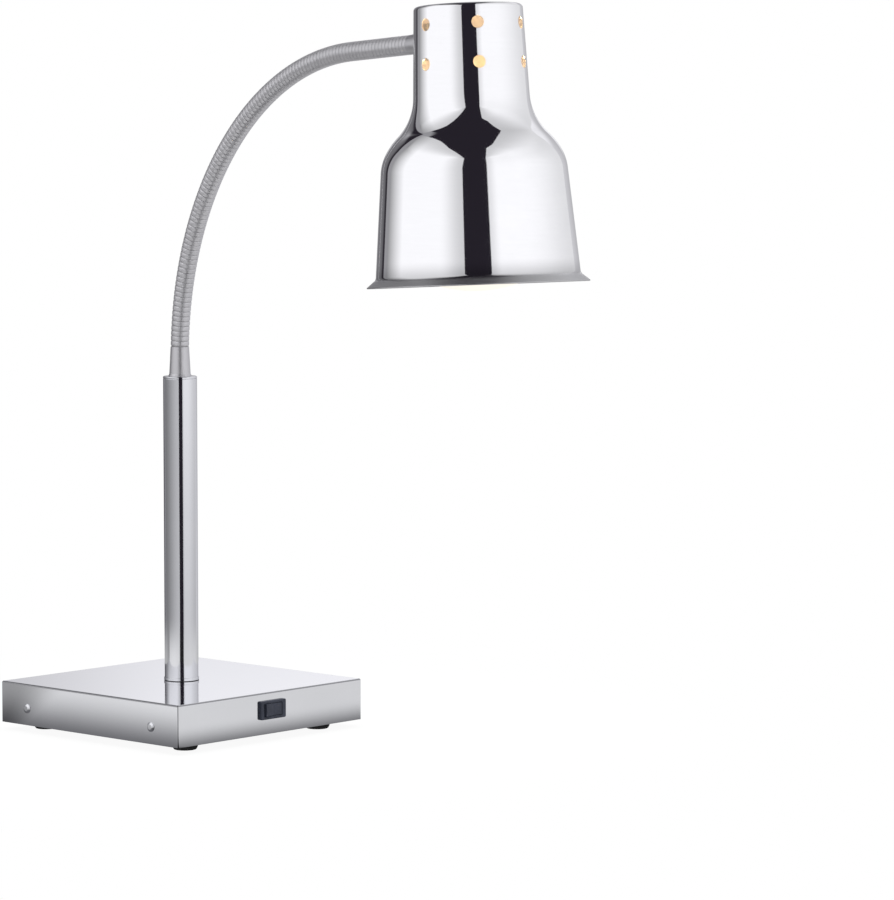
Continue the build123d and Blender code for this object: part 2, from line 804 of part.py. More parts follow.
# Bracket: a tab clamped by the arm's nut, folded into a shelf that carries the lamp holder
tab_face = wall_inside - arm_washer_thickness
shelf = head.offset(bracket_shelf_height)
shell_outer = cap_radius + shell_clearance + shell_wall
holder_radius = shell_outer + slip_gap + holder_wall
holder_screw_pitch = 2 * (holder_radius - holder_screw_edge)
bracket_overhang = holder_radius + bracket_lip
with BuildPart() as holder_bracket:
    with BuildSketch(shelf):
        with Locations((-tab_face, 0)):
            Rectangle(tab_face + bracket_overhang, bracket_width, align=(Align.MIN, Align.CENTER))
        Circle(wire_bore, mode=Mode.SUBTRACT)
        with GridLocations(holder_screw_pitch, 0, 2, 1):
            Circle(holder_screw_radius + slip_gap, mode=Mode.SUBTRACT)
    extrude(amount=bracket_sheet)
    with BuildSketch(shelf):
        with Locations((-tab_face, 0)):
            Rectangle(bracket_sheet, bracket_width, align=(Align.MIN, Align.CENTER))
    extrude(amount=arm_height_on_head + bracket_rise - bracket_shelf_height)
    with BuildSketch(washer_face):
        Circle(nipple_radius + slip_gap)
    extrude(amount=bracket_sheet, mode=Mode.SUBTRACT)
save(holder_bracket, "holder_bracket")

# Porcelain lamp holder under the shelf, with its screws, threaded shell and centre contact
holder_foot = bracket_shelf_height - holder_height
holder_mouth_radius = shell_outer + holder_mouth_wall
with BuildPart() as lamp_holder:
    with BuildSketch(side_plane(head)):
        with BuildLine():
            Polyline(
                (shell_outer + slip_gap, holder_foot),
                (holder_mouth_radius, holder_foot),
                (holder_radius, holder_foot + holder_height / 2),
                (holder_radius, bracket_shelf_height),
                (0, bracket_shelf_height),
                (0, holder_floor),
                (shell_outer + slip_gap, holder_floor),
                close=True,
            )
        make_face()
    revolve(axis=head_axis)
    with BuildSketch(shelf):
        with GridLocations(holder_screw_pitch, 0, 2, 1):
            Circle(holder_screw_radius + slip_gap)
    extrude(amount=-holder_screw_length, mode=Mode.SUBTRACT)
save(lamp_holder, "lamp_holder")
with BuildPart() as holder_screws:
    with BuildSketch(shelf.offset(bracket_sheet)):
        with GridLocations(holder_screw_pitch, 0, 2, 1):
            Circle(holder_screw_head_radius)
    extrude(amount=holder_screw_head_height)
    with BuildSketch(shelf.offset(bracket_sheet)):
        with GridLocations(holder_screw_pitch, 0, 2, 1):
            Circle(holder_screw_radius)
    extrude(amount=-holder_screw_length)
save(holder_screws, "holder_screws")
shell_foot = holder_foot + shell_setback
shell_inner = shell_outer - shell_wall
holder_shell = ring(head.offset(shell_foot), shell_outer, shell_inner, contact_bottom - shell_foot)
save(holder_shell, "holder_shell")
with BuildPart() as holder_contact:
    with BuildSketch(head.offset(contact_bottom)):
        Circle(contact_radius)
    extrude(amount=contact_height)
save(holder_contact, "holder_contact")

# Bulb: a blown reflector shape with a domed face, and a thin screw cap with a contact tip
face_turn = degrees(asin(face_share))
glass_end = cap_radius - cap_wall


def bulb_body(inset):
    """Solid bulb out to a surface that lies inside the glass's outer one."""
    with BuildPart() as body:
        with BuildSketch(side_plane(head)):
            with BuildLine():
                face = JernArc((0, inset - bulb_drop), (1, 0), bulb_face_radius - inset, face_turn)
                edge = JernArc(face @ 1, face % 1, bulb_edge_round - inset, 90 - face_turn)
                bend = JernArc(edge @ 1, edge % 1, bulb_side_bend - inset, bulb_side_turn)
                side = PolarLine(bend @ 1, bulb_side_length, direction=bend % 1)
                throat = JernArc(side @ 1, side % 1, bulb_throat_bend + inset, -bulb_side_turn)
                Polyline(
                    throat @ 1,
                    ((throat @ 1).X, bulb_throat_top),
                    (glass_end - inset, bulb_neck_top),
                    (glass_end - inset, cap_height),
                    (0, cap_height),
                    face @ 0,
                )
            make_face()
        revolve(axis=head_axis)
    return body


with BuildPart() as bulb_glass:
    add(bulb_body(0).part)
    add(bulb_body(bulb_wall).part, mode=Mode.SUBTRACT)
save(bulb_glass, "bulb_glass")
bulb_cap = turned(
    head.offset(cap_height),
    [
        (cap_radius - cap_wall, 0),
        (cap_radius, 0),
        (cap_radius, cap_length - cap_tip_height),
        (cap_tip_radius, cap_length),
        (cap_tip_radius / 2, cap_length + cap_tip_height),
        (0, cap_length + cap_tip_height),
        (0, cap_length - cap_wall),
        (cap_radius - cap_wall, cap_length - cap_tip_height - cap_wall),
    ],
)
save(bulb_cap, "bulb_cap")
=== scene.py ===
"""Food heat lamp: a mirror-finished lamp head on a ribbed gooseneck, with its post, base, switch and bulb.

Metres, +Z up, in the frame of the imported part. Every piece stands where the part's own solid stands.
"""

import json
from math import asin, atan2, cos, hypot, pi, radians, sin, sqrt, tan

import bpy
from bpy.props import FloatProperty, FloatVectorProperty, IntProperty, PointerProperty
from mathutils import Matrix, Vector

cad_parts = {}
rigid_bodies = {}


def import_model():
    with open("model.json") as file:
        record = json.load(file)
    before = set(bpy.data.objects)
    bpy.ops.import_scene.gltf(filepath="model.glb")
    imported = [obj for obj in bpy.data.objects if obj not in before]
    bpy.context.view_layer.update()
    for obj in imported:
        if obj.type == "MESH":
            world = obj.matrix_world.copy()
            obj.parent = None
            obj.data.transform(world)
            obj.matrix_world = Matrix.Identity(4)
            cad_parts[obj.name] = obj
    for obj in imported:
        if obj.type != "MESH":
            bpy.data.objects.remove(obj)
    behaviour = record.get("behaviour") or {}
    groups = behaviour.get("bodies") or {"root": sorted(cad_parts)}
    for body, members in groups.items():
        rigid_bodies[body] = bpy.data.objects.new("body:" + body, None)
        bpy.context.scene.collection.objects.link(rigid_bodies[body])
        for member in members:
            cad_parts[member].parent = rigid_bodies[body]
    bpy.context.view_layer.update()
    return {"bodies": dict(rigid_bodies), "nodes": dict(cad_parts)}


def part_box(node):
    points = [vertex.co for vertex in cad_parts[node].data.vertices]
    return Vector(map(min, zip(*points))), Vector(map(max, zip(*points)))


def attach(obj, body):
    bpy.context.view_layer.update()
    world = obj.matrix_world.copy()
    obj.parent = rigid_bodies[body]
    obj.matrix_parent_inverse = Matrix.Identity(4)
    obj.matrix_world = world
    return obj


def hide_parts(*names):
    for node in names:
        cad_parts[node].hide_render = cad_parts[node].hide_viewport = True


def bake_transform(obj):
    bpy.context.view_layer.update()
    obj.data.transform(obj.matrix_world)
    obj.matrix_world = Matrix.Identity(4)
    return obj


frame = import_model()

bl_info = {
    "name": "Food heat lamp",
    "version": (1, 0, 0),
    "blender": (4, 5, 0),
    "location": "3D View > Sidebar > Heat lamp",
    "description": "Builds the visible pieces of a gooseneck food heat lamp round its packed frame",
    "category": "Object",
}

mm = 0.001
tiny = 1e-7
upward = Vector((0, 0, 1))


def width_of(node, axis):
    """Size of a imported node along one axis."""
    low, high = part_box(node)
    return high[axis] - low[axis]


def top_of(node):
    """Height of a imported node's highest point."""
    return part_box(node)[1].z


def middle_of(node, axis):
    """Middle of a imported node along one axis."""
    low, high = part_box(node)
    return (low[axis] + high[axis]) / 2


def length(name, default, description):
    """Property for a size in metres."""
    return FloatProperty(
        name=name, description=description, default=default, min=0, precision=5, unit="LENGTH"
    )


def turn(name, default, description):
    """Property for an angle."""
    return FloatProperty(name=name, description=description, default=radians(default), subtype="ANGLE")


def count(name, default, description):
    """Property for a number of like things."""
    return IntProperty(name=name, description=description, default=default, min=0)


def colour(name, default, description):
    """Property for a colour."""
    return FloatVectorProperty(
        name=name, description=description, default=default, min=0, max=1, subtype="COLOR"
    )


def level(name, default, description):
    """Property for a plain factor."""
    return FloatProperty(
        name=name, description=description, default=default, min=0, soft_max=4, subtype="FACTOR"
    )


class BaseSizes(bpy.types.PropertyGroup):
    """Sizes of the base, the switch, the feet and the post."""

    side: length("Side", width_of("base_housing", 0), "Width and depth of the square housing")
    top: length("Top", top_of("base_housing"), "Height of the housing's top above the floor")
    foot_height: length("Foot height", top_of("foot_front_left"), "Height of the rubber feet")
    foot_radius: length("Foot radius", width_of("foot_front_left", 0) / 2, "Radius of the rubber feet")
    foot_spacing: length("Foot spacing", -2 * middle_of("foot_front_left", 0), "Left feet to right feet")
    foot_depth: length("Foot depth", -2 * middle_of("foot_front_left", 1), "Front feet to rear feet")
    bend: length("Bend", 1.5 * mm, "Rounding of the folded top edges")
    corner: length("Corner", 1.1 * mm, "Rounding of the upright corners")
    sheet: length("Sheet", 1.2 * mm, "Thickness of the housing's sheet")
    seam: length("Seam", 0.6 * mm, "Width of the open seam at each corner")
    rivet_spacing: length("Rivet spacing", 0.151, "Distance between the rivets on a side")
    rivet_height: length("Rivet height", middle_of("side_rivets", 2), "Height of the rivets above the floor")
    rivet_radius: length("Rivet radius", 4.0 * mm, "Radius of the rivet heads")
    switch_height: length("Switch height", middle_of("switch_body", 2), "Height of the switch's middle")
    bezel_width: length("Bezel width", width_of("switch_body", 0), "Width of the switch's bezel")
    bezel_depth: length("Bezel depth", width_of("switch_body", 2), "Height of the switch's bezel")
    bezel_stand: length(
        "Bezel stand",
        -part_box("switch_body")[0].y - width_of("base_housing", 0) / 2,
        "How far the bezel stands off the housing",
    )
    gland_height: length("Gland height", middle_of("cable_gland", 2), "Height of the cable gland's middle")
    post_radius: length("Post radius", width_of("post_tube", 0) / 2, "Radius of the post")
    post_top: length("Post top", top_of("post_cap"), "Height of the top of the post's cap")


class NeckSizes(bpy.types.PropertyGroup):
    """Sizes of the ribbed hose and its two ferrules."""

    heading: turn("Heading", 8.5, "How far the arm is turned from the front towards the left")
    bend_turn: turn("Bend", 86.5, "Angle that the hose bends through")
    bend_start: length("Bend start", 0.316, "Height where the hose starts to bend")
    bend_length: length("Bend length", 0.3825, "Length of the bent part of the hose")
    hose_radius: length("Hose radius", 7.7 * mm, "Radius of the hose over its ribs")
    groove_radius: length("Groove radius", 7.2 * mm, "Radius of the hose in its grooves")
    rib_pitch: length("Rib pitch", 4.25 * mm, "Distance from one rib to the next")
    hidden_ribs: count("Hidden ribs", 2, "Ribs inside the lower ferrule")
    root_ribs: count("Root ribs", 4, "Ribs below the first joint")
    link_ribs: count("Link ribs", 9, "Ribs on each link of the hose")
    tip_ribs: count("Tip ribs", 23, "Ribs beyond the last joint")
    ferrule_length: length("Ferrule length", 24.6 * mm, "Length of the lower ferrule")
    upper_ferrule_length: length("Upper ferrule length", 21.5 * mm, "Length of the upper ferrule")
    ferrule_foot: length("Ferrule foot", 8.95 * mm, "Radius of a ferrule near its foot")
    ferrule_lip: length("Ferrule lip", 9.65 * mm, "Radius of a ferrule's lip")
    ferrule_mouth: length("Ferrule mouth", 7.75 * mm, "Radius of a ferrule at the hose")


class HeadSizes(bpy.types.PropertyGroup):
    """Sizes of the shade and the bulb, measured up from the rim on the head's own axis."""

    reach: length("Reach", 0.146618, "From the end of the bend to the head's axis")
    arm_height: length("Arm height", 0.18752, "Height of the arm above the rim")
    rim_radius: length("Rim radius", 85.5 * mm, "Outer radius of the flared rim")
    waist_radius: length("Waist radius", 78.6 * mm, "Radius just above the flared rim")
    waist_height: length("Waist height", 5.7 * mm, "Height of the flared rim")
    shoulder_radius: length("Shoulder radius", 70.9 * mm, "Radius where the shoulder starts to round")
    shoulder_height: length("Shoulder height", 94.9 * mm, "Height where the shoulder starts to round")
    brow_radius: length("Brow radius", 62.65 * mm, "Radius where the shoulder is rounded less")
    brow_height: length("Brow height", 108.75 * mm, "Height where the shoulder is rounded less")
    neck_radius: length("Neck radius", 45.3 * mm, "Radius at the foot of the neck")
    neck_height: length("Neck height", 126.1 * mm, "Height of the foot of the neck")
    crown_radius: length("Crown radius", 41.7 * mm, "Radius at the top of the neck")
    height: length("Height", 0.21252, "Height of the shade")
    sheet: length("Sheet", 1.2 * mm, "Thickness of the shade's sheet")
    vent_radius: length("Vent radius", 4.8 * mm, "Radius of the round vents")
    bulb_radius: length("Bulb radius", 62.5 * mm, "Radius of the bulb")
    bulb_drop: length("Bulb drop", 5.5 * mm, "How far the bulb's face hangs below the rim")


class Finishes(bpy.types.PropertyGroup):
    """Colours of the lamp's finishes."""

    steel: colour("Polished steel", (0.775, 0.78, 0.81), "Base, rivets, post and collars")
    hose: colour("Hose steel", (0.63, 0.625, 0.645), "Ribbed hose and its ferrules")
    shade: colour("Shade", (0.90, 0.90, 0.915), "Outside of the shade")
    lining: colour("Shade lining", (0.80, 0.78, 0.74), "Inside of the shade")
    # The bead under the post's collar is painted shade.
    rubber: colour("Rubber", (0.012, 0.012, 0.013), "Feet and the bead under the post's collar")
    plastic: colour("Switch plastic", (0.029, 0.033, 0.048), "Switch and cable gland")
    zinc: colour("Zinc", (0.62, 0.63, 0.645), "Plated steel inside the base and the head")
    iron: colour("Painted iron", (0.045, 0.047, 0.05), "Ballast")
    brass: colour("Brass", (0.80, 0.60, 0.30), "Contacts and terminals")
    porcelain: colour("Porcelain", (0.86, 0.83, 0.77), "Lamp holder")
    block: colour("Block plastic", (0.78, 0.76, 0.70), "Terminal block")
    glow: colour("Bulb face", (1.0, 0.95, 0.82), "Light of the bulb's face")
    # Painted light: the lining glows with this colour, though it is no lamp.
    warmth: colour("Warm lining", (0.20, 0.14, 0.095), "Light that the lining throws back in the neck")
    ember: colour("Bulb neck", (1.0, 0.70, 0.36), "Light that leaves the bulb's neck")


class StageSettings(bpy.types.PropertyGroup):
    """Floor, lights and camera."""

    floor: colour("Floor", (0.90, 0.90, 0.90), "Colour of the floor")
    panel: level("Panels", 1.08, "Brightness of the large white panels")
    low_left: level("Low left panel", 0.46, "Brightness of the grey panel low on the left")
    overhead: level("Overhead", 1.0, "Brightness of the soft light over the floor")
    lens: FloatProperty(name="Lens", description="Focal length of the camera", default=165.97, unit="CAMERA")
    place: FloatVectorProperty(
        name="Camera place",
        description="Where the camera stands",
        default=(-2.4158, -2.5209, 0.5363),
        unit="LENGTH",
    )
    pitch: turn("Pitch", 85.08, "Camera's tilt from looking straight down")
    yaw: turn("Yaw", -47.47, "Camera's heading")


class Field:
    """A number, colour or vector on its way through a node tree; arithmetic on it adds Math nodes."""

    def __init__(self, nodes, socket):
        self.nodes = nodes
        self.socket = socket

    def __add__(self, other):
        return self.nodes.maths("ADD", self, other)

    __radd__ = __add__

    def __sub__(self, other):
        return self.nodes.maths("SUBTRACT", self, other)

    def __rsub__(self, other):
        return self.nodes.maths("SUBTRACT", other, self)

    def __mul__(self, other):
        return self.nodes.maths("MULTIPLY", self, other)

    __rmul__ = __mul__

    def __truediv__(self, other):
        return self.nodes.maths("DIVIDE", self, other)

    def __rtruediv__(self, other):
        return self.nodes.maths("DIVIDE", other, self)


class Nodes:
    """A node tree whose nodes hand out their outputs as fields."""

    def __init__(self, tree):
        self.tree = tree
        tree.nodes.clear()

    def node(self, kind, settings=None, sockets=None, output=0):
        """Add a node: its settings first, then a value or a link for each socket."""
        made = self.tree.nodes.new(kind)
        for name, value in (settings or {}).items():
            if name == "stops":
                self.set_stops(made.color_ramp, value)
            else:
                setattr(made, name, value)
        for name, value in (sockets or {}).items():
            if isinstance(value, Field):
                self.tree.links.new(value.socket, made.inputs[name])
            elif value is not None:
                made.inputs[name].default_value = value
        return Field(self, made.outputs[output]) if made.outputs else made

    def set_stops(self, ramp, stops):
        """Give a colour ramp its grey stops, from (place, level)."""
        while len(ramp.elements) < len(stops):
            ramp.elements.new(1.0)
        for element, (place, grey) in zip(ramp.elements, stops):
            element.position = place
            element.color = (grey, grey, grey, 1)

    def maths(self, operation, first, second=None):
        """Work out one or two numbers."""
        return self.node("ShaderNodeMath", {"operation": operation}, {0: first, 1: second})

    def vector(self, operation, first, second=None, output="Vector"):
        """Work out one or two vectors."""
        return self.node("ShaderNodeVectorMath", {"operation": operation}, {0: first, 1: second}, output)

    def dot(self, first, second):
        """How far one vector goes along another."""
        return self.vector("DOT_PRODUCT", first, second, "Value")

    def here(self, kind="Object"):
        """Coordinates of the point that is shaded."""
        return self.node("ShaderNodeTexCoord", output=kind)

    def first_two(self, place):
        """First two coordinates of a place."""
        parts = self.node("ShaderNodeSeparateXYZ", {}, {0: place}).socket.node
        return Field(self, parts.outputs[0]), Field(self, parts.outputs[1])

    def bearing(self, ahead, right):
        """Share of a turn about the upright axis, with 0.5 towards the camera."""
        return self.maths("ARCTAN2", right, ahead) / (2 * pi) + 0.5

    def tone_round(self, bearing, tones):
        """Tone that changes with the bearing, from a tone for each angle in degrees."""
        stops = [(angle / 360 + 0.5, tone) for angle, tone in tones.items()]
        return self.node("ShaderNodeValToRGB", {"stops": stops}, {"Fac": bearing})

    def mix(self, factor, first, second):
        """Blend two colours."""
        settings = {"data_type": "RGBA", "clamp_factor": True}
        return self.node("ShaderNodeMix", settings, {0: factor, 6: opaque(first), 7: opaque(second)}, 2)

    def vary(self, factor, shade, low, high):
        """Blend a darker and a lighter version of one colour."""
        return self.mix(factor, scaled(shade, low), scaled(shade, high))

    def step(self, value, low, high, start=0.0, end=1.0):
        """Smooth change from start to end while a value goes from low to high."""
        settings = {"interpolation_type": "SMOOTHSTEP", "clamp": True}
        return self.node("ShaderNodeMapRange", settings, {0: value, 1: low, 2: high, 3: start, 4: end})

    def steps(self, *changes):
        """Product of smooth changes, each given by what step takes."""
        total = self.step(*changes[0])
        for change in changes[1:]:
            total = total * self.step(*change)
        return total

    def noise(self, scale, detail, roughness=0.5, stretch=(1, 1, 1)):
        """Soft noise from 0 to 1 over a piece, which may be stretched along its axes."""
        place = self.node("ShaderNodeMapping", {}, {"Vector": self.here(), "Scale": stretch})
        sockets = {"Vector": place, "Scale": scale, "Detail": detail, "Roughness": roughness}
        return self.node("ShaderNodeTexNoise", {}, sockets)

    def bump(self, height, distance):
        """Surface relief of a given depth."""
        return self.node("ShaderNodeBump", {}, {"Height": height, "Distance": distance, "Strength": 1.0})


def opaque(shade):
    """Colour with full alpha; fields stay as they are."""
    return shade if isinstance(shade, Field) else (*shade, 1)


def scaled(shade, factor):
    """Colour made lighter or darker."""
    return tuple(min(1.0, part * factor) for part in shade)


class Finish(Nodes):
    """A material with one surface shader."""

    def __init__(self, name):
        self.material = bpy.data.materials.new(name)
        self.material.use_nodes = True
        super().__init__(self.material.node_tree)
        self.surface = self.node("ShaderNodeBsdfPrincipled")
        self.shader = self.surface.socket.node
        self.output = self.node("ShaderNodeOutputMaterial", {}, {"Surface": self.surface})

    def show(self, surface):
        """Show another shader in place of the surface one."""
        self.tree.links.new(surface.socket, self.output.inputs["Surface"])

    def set(self, sockets):
        """Feed the shader's sockets with values or fields."""
        for name, value in sockets.items():
            if isinstance(value, Field):
                self.tree.links.new(value.socket, self.shader.inputs[name])
            else:
                self.shader.inputs[name].default_value = opaque(value) if "Color" in name else value
        return self.material


def finish_of(name, make, *values, **settings):
    """Material of that name, made when it is first asked for."""
    return bpy.data.materials.get(name) or make(name, *values, **settings)


def shade_of(name):
    """One of the lamp's colours."""
    return tuple(getattr(bpy.context.scene.lamp_finishes, name))


def height_over(finish, axes):
    """Height of each point over the origin of some axes."""
    return finish.dot(finish.vector("SUBTRACT", finish.here(), axes.origin), axes.up)


def polished_metal(name, shade, gloss, lines, wave, hem=None):
    """Mirror-finished sheet: faint polishing lines, soft smears and a slight waviness; duller near a hem, and
    darker there from painted shade.
    """
    hem_edge, dull_end, dark_end = 3.0 * mm, 7.0 * mm, 19.0 * mm
    hem_dullness, hem_painted_shade = 0.36, 0.62
    finish = Finish(name)
    smear = finish.step(finish.noise(scale=14.0, detail=4.0, roughness=0.6), 0.45, 0.75)
    grain = finish.noise(scale=1.0, detail=2.0, stretch=lines)
    tone = finish.vary(smear * 0.5 + grain * 0.5, shade, 0.97, 1.03)
    swell = finish.noise(scale=9.0, detail=1.0)
    rough = gloss + smear * 0.03 + grain * 0.02
    if hem:
        height = height_over(finish, hem)
        # Darker base colour near the hem is painted shade in the reflection.
        tone = finish.mix(finish.step(height, hem_edge, dark_end), scaled(shade, hem_painted_shade), tone)
        rough = rough + finish.step(height, hem_edge, dull_end, hem_dullness, 0.0)
    return finish.set(
        {
            "Base Color": tone,
            "Metallic": 1.0,
            "Roughness": rough,
            "Normal": finish.bump(swell, wave),
        }
    )


def ribbed_steel(name, shade):
    """Satin steel strip, darker in the grooves, partly from dirt and partly from painted shade."""
    groove_dirt_and_shade, groove_tone = 0.4, 0.4
    finish = Finish(name)
    groove = finish.node("ShaderNodeAttribute", {"attribute_name": "groove"}, output="Fac")
    patch = finish.noise(scale=60.0, detail=4.0)
    grain = finish.noise(scale=900.0, detail=2.0)
    tone = finish.vary(patch, shade, 0.92, 1.06)
    return finish.set(
        {
            # Grooves darkened in the base colour: dirt together with painted shade.
            "Base Color": finish.mix(groove * groove_dirt_and_shade, tone, scaled(shade, groove_tone)),
            "Metallic": 0.88,
            "Roughness": 0.37 + patch * 0.04 + grain * 0.02 + groove * 0.15,
            "Normal": finish.bump(grain, 0.002 * mm),
        }
    )


def satin_lining(name, shade, glow, head):
    """Spun aluminium inside the shade, with a painted warm glow in the neck that stands for the bulb's light.
    """
    dark_below, lit_above = 138.0 * mm, 160.0 * mm
    finish = Finish(name)
    lit = finish.step(height_over(finish, head), dark_below, lit_above)
    spin = finish.noise(scale=1.0, detail=2.0, stretch=(30, 30, 1600))
    patch = finish.noise(scale=25.0, detail=4.0)
    return finish.set(
        {
            "Base Color": finish.vary(patch, shade, 0.94, 1.05),
            "Metallic": 1.0,
            "Roughness": 0.26 + spin * 0.12,
            # Painted light: the lining itself glows warm high in the neck.
            "Emission Color": finish.mix(lit, (0, 0, 0), glow),
            "Emission Strength": 1.0,
            "Normal": finish.bump(spin, 0.02 * mm),
        }
    )


def moulded(name, shade, gloss, fineness, relief):
    """Moulded plastic or rubber with a fine grain and a little wear."""
    finish = Finish(name)
    grain = finish.noise(scale=fineness, detail=2.0)
    patch = finish.noise(scale=70.0, detail=5.0, roughness=0.6)
    return finish.set(
        {
            "Base Color": finish.vary(finish.step(patch, 0.4, 0.8), shade, 1.0, 1.7),
            "Specular IOR Level": 0.25,
            "Roughness": gloss + patch * 0.12 + grain * 0.06,
            "Normal": finish.bump(grain, relief),
        }
    )


def plated(name, shade, gloss):
    """Plated or plain metal of inner pieces, with soft stains and drawn lines."""
    finish = Finish(name)
    stain = finish.noise(scale=45.0, detail=5.0, roughness=0.6)
    line = finish.noise(scale=1.0, detail=2.0, stretch=(60, 900, 900))
    return finish.set(
        {
            "Base Color": finish.vary(finish.step(stain, 0.35, 0.7), shade, 0.82, 1.06),
            "Metallic": 1.0,
            "Roughness": gloss + stain * 0.12 + line * 0.08,
            "Normal": finish.bump(line, 0.01 * mm),
        }
    )


def painted_iron(name, shade):
    """Cast slab under a thick dark paint."""
    finish = Finish(name)
    pits = finish.noise(scale=420.0, detail=4.0, roughness=0.65)
    patch = finish.noise(scale=30.0, detail=4.0)
    return finish.set(
        {
            "Base Color": finish.vary(patch, shade, 0.75, 1.4),
            "Roughness": 0.5 + pits * 0.3,
            "Normal": finish.bump(pits, 0.15 * mm),
        }
    )


def porcelain(name, shade):
    """Glazed porcelain with faint specks."""
    finish = Finish(name)
    specks = finish.step(finish.noise(scale=700.0, detail=2.0), 0.66, 0.74)
    cloud = finish.noise(scale=40.0, detail=3.0)
    body = finish.vary(cloud, shade, 0.95, 1.04)
    return finish.set(
        {
            "Base Color": finish.mix(specks * 0.5, body, scaled(shade, 0.5)),
            "Roughness": 0.2 + cloud * 0.12,
            "Coat Weight": 0.4,
        }
    )


def bulb_skin(name, glow, ember, head):
    """Reflector bulb: a frosted face that glows, silvered sides, and a neck that lets some warm light out."""
    edge_band, side_band, neck_band = (2.0 * mm, 9.0 * mm), (12.5 * mm, 18.5 * mm), (97.5 * mm, 109.5 * mm)
    face_glow, edge_glow = (0.034, 0.037), 0.024
    frosted, clear, side_glow = (0.30, 0.29, 0.27), (0.92, 0.86, 0.76), (0.006, 0.004, 0.002)
    finish = Finish(name)
    height = height_over(finish, head)
    frost = finish.noise(scale=320.0, detail=3.0)
    edge, side, neck = (finish.step(height, *band) for band in (edge_band, side_band, neck_band))
    silver = finish.mix(frost, (0.80, 0.78, 0.74), (0.90, 0.88, 0.84))
    skin = finish.mix(side, frosted, silver)
    face_light = finish.mix(edge, finish.vary(frost, glow, *face_glow), scaled(glow, edge_glow))
    light = finish.mix(side, face_light, side_glow)
    return finish.set(
        {
            "Base Color": finish.mix(neck, skin, clear),
            "Metallic": side - neck,
            "Roughness": 0.34 + frost * 0.1,
            "Emission Color": finish.mix(neck, light, ember),
            "Emission Strength": 20.0,
            "Normal": finish.bump(frost, 0.03 * mm),
        }
    )


def steel():
    """Polished steel of the base, the rivets, the post and the collars."""
    shade, lines = shade_of("steel"), (900, 900, 30)
    return finish_of("Polished steel", polished_metal, shade, gloss=0.06, lines=lines, wave=0.03 * mm)


def satin():
    """Satin steel of the ferrules."""
    shade, lines = shade_of("hose"), (900, 900, 60)
    return finish_of("Satin steel", polished_metal, shade, gloss=0.38, lines=lines, wave=0.01 * mm)


def gland_plastic():
    """Plastic of the cable gland and its nut."""
    shade = scaled(shade_of("plastic"), 0.8)
    return finish_of("Gland plastic", moulded, shade, gloss=0.42, fineness=1600.0, relief=0.02 * mm)


class Axes:
    """A place with a direction to stand along: x, y and up from an origin."""

    def __init__(self, origin, up, x):
        self.origin = Vector(origin)
        self.up = Vector(up).normalized()
        self.x = Vector(x).normalized()
        self.y = self.up.cross(self.x)

    def at(self, x, y, z):
        return self.origin + self.x * x + self.y * y + self.up * z

    def along(self, x, y, z):
        return self.x * x + self.y * y + self.up * z


floor_axes = Axes((0, 0, 0), upward, (1, 0, 0))


def circle(segments, radius_at=None):
    """Loop round an axis: the offset is its radius, which radius_at may change with the angle."""

    def loop(offset):
        points = []
        for step in range(segments):
            angle = 2 * pi * step / segments
            radius = radius_at(offset, angle) if radius_at else offset
            points.append((radius * cos(angle), radius * sin(angle), cos(angle), sin(angle)))
        return points

    return loop


def box_loop(width, depth, corner):
    """Loop round a rectangle with rounded corners: the offset grows it on every side."""
    corner_steps = 5
    least_corner = 0.05 * mm

    def loop(offset):
        rounding = max(corner + offset, least_corner)
        half_x = width / 2 + offset - rounding
        half_y = depth / 2 + offset - rounding
        points = []
        for quarter, (way_x, way_y) in enumerate(((1, 1), (-1, 1), (-1, -1), (1, -1))):
            for step in range(corner_steps + 1):
                angle = pi / 2 * (quarter + step / corner_steps)
                out_x, out_y = cos(angle), sin(angle)
                x, y = way_x * half_x + rounding * out_x, way_y * half_y + rounding * out_y
                points.append((x, y, out_x, out_y))
        return points

    return loop


def loop_normals(axes, loop, out):
    """Normals round a loop, where an outline has the normal (outwards, up)."""
    return [axes.along(out.x * out_x, out.x * out_y, out.y) for _, _, out_x, out_y in loop]


def outline(corners, steps=5, closed=False):
    """Runs of an outline walked with the solid on its left.

    Each corner is (offset, height) or (offset, height, rounding). Each run is (start, end, normal at start,
    normal at end); a rounded corner gives several short runs.
    """
    points = [Vector(corner[:2]) for corner in corners]
    rounding = [corner[2] if len(corner) > 2 else 0.0 for corner in corners]
    total = len(points)
    stops = []
    for place in range(total):
        before, here, after = points[place - 1], points[place], points[(place + 1) % total]
        if rounding[place] == 0.0:
            stops.append([here])
            continue
        back, onward = (before - here).normalized(), (after - here).normalized()
        half = back.angle(onward) / 2
        start = here + back * rounding[place] / tan(half)
        end = here + onward * rounding[place] / tan(half)
        middle = here + (back + onward).normalized() * rounding[place] / sin(half)
        first, last = start - middle, end - middle
        sweep = pi - 2 * half
        arc = []
        for step in range(steps + 1):
            share = step / steps
            spread = (first * sin((1 - share) * sweep) + last * sin(share * sweep)) / sin(sweep)
            arc.append(middle + spread)
        stops.append(arc)
    runs = []
    for place in range(total):
        arc = stops[place]
        if len(arc) > 1:
            back = points[place] - points[place - 1]
            onward = points[(place + 1) % total] - points[place]
            first = Vector((back.y, -back.x)).normalized()
            last = Vector((onward.y, -onward.x)).normalized()
            normals = [first.slerp(last, step / steps) for step in range(steps + 1)]
            runs += zip(arc, arc[1:], normals, normals[1:])
        if place == total - 1 and not closed:
            break
        start, end = arc[-1], stops[(place + 1) % total][0]
        if (end - start).length > tiny:
            normal = Vector((end.y - start.y, start.x - end.x)).normalized()
            runs.append((start, end, normal, normal))
    return runs


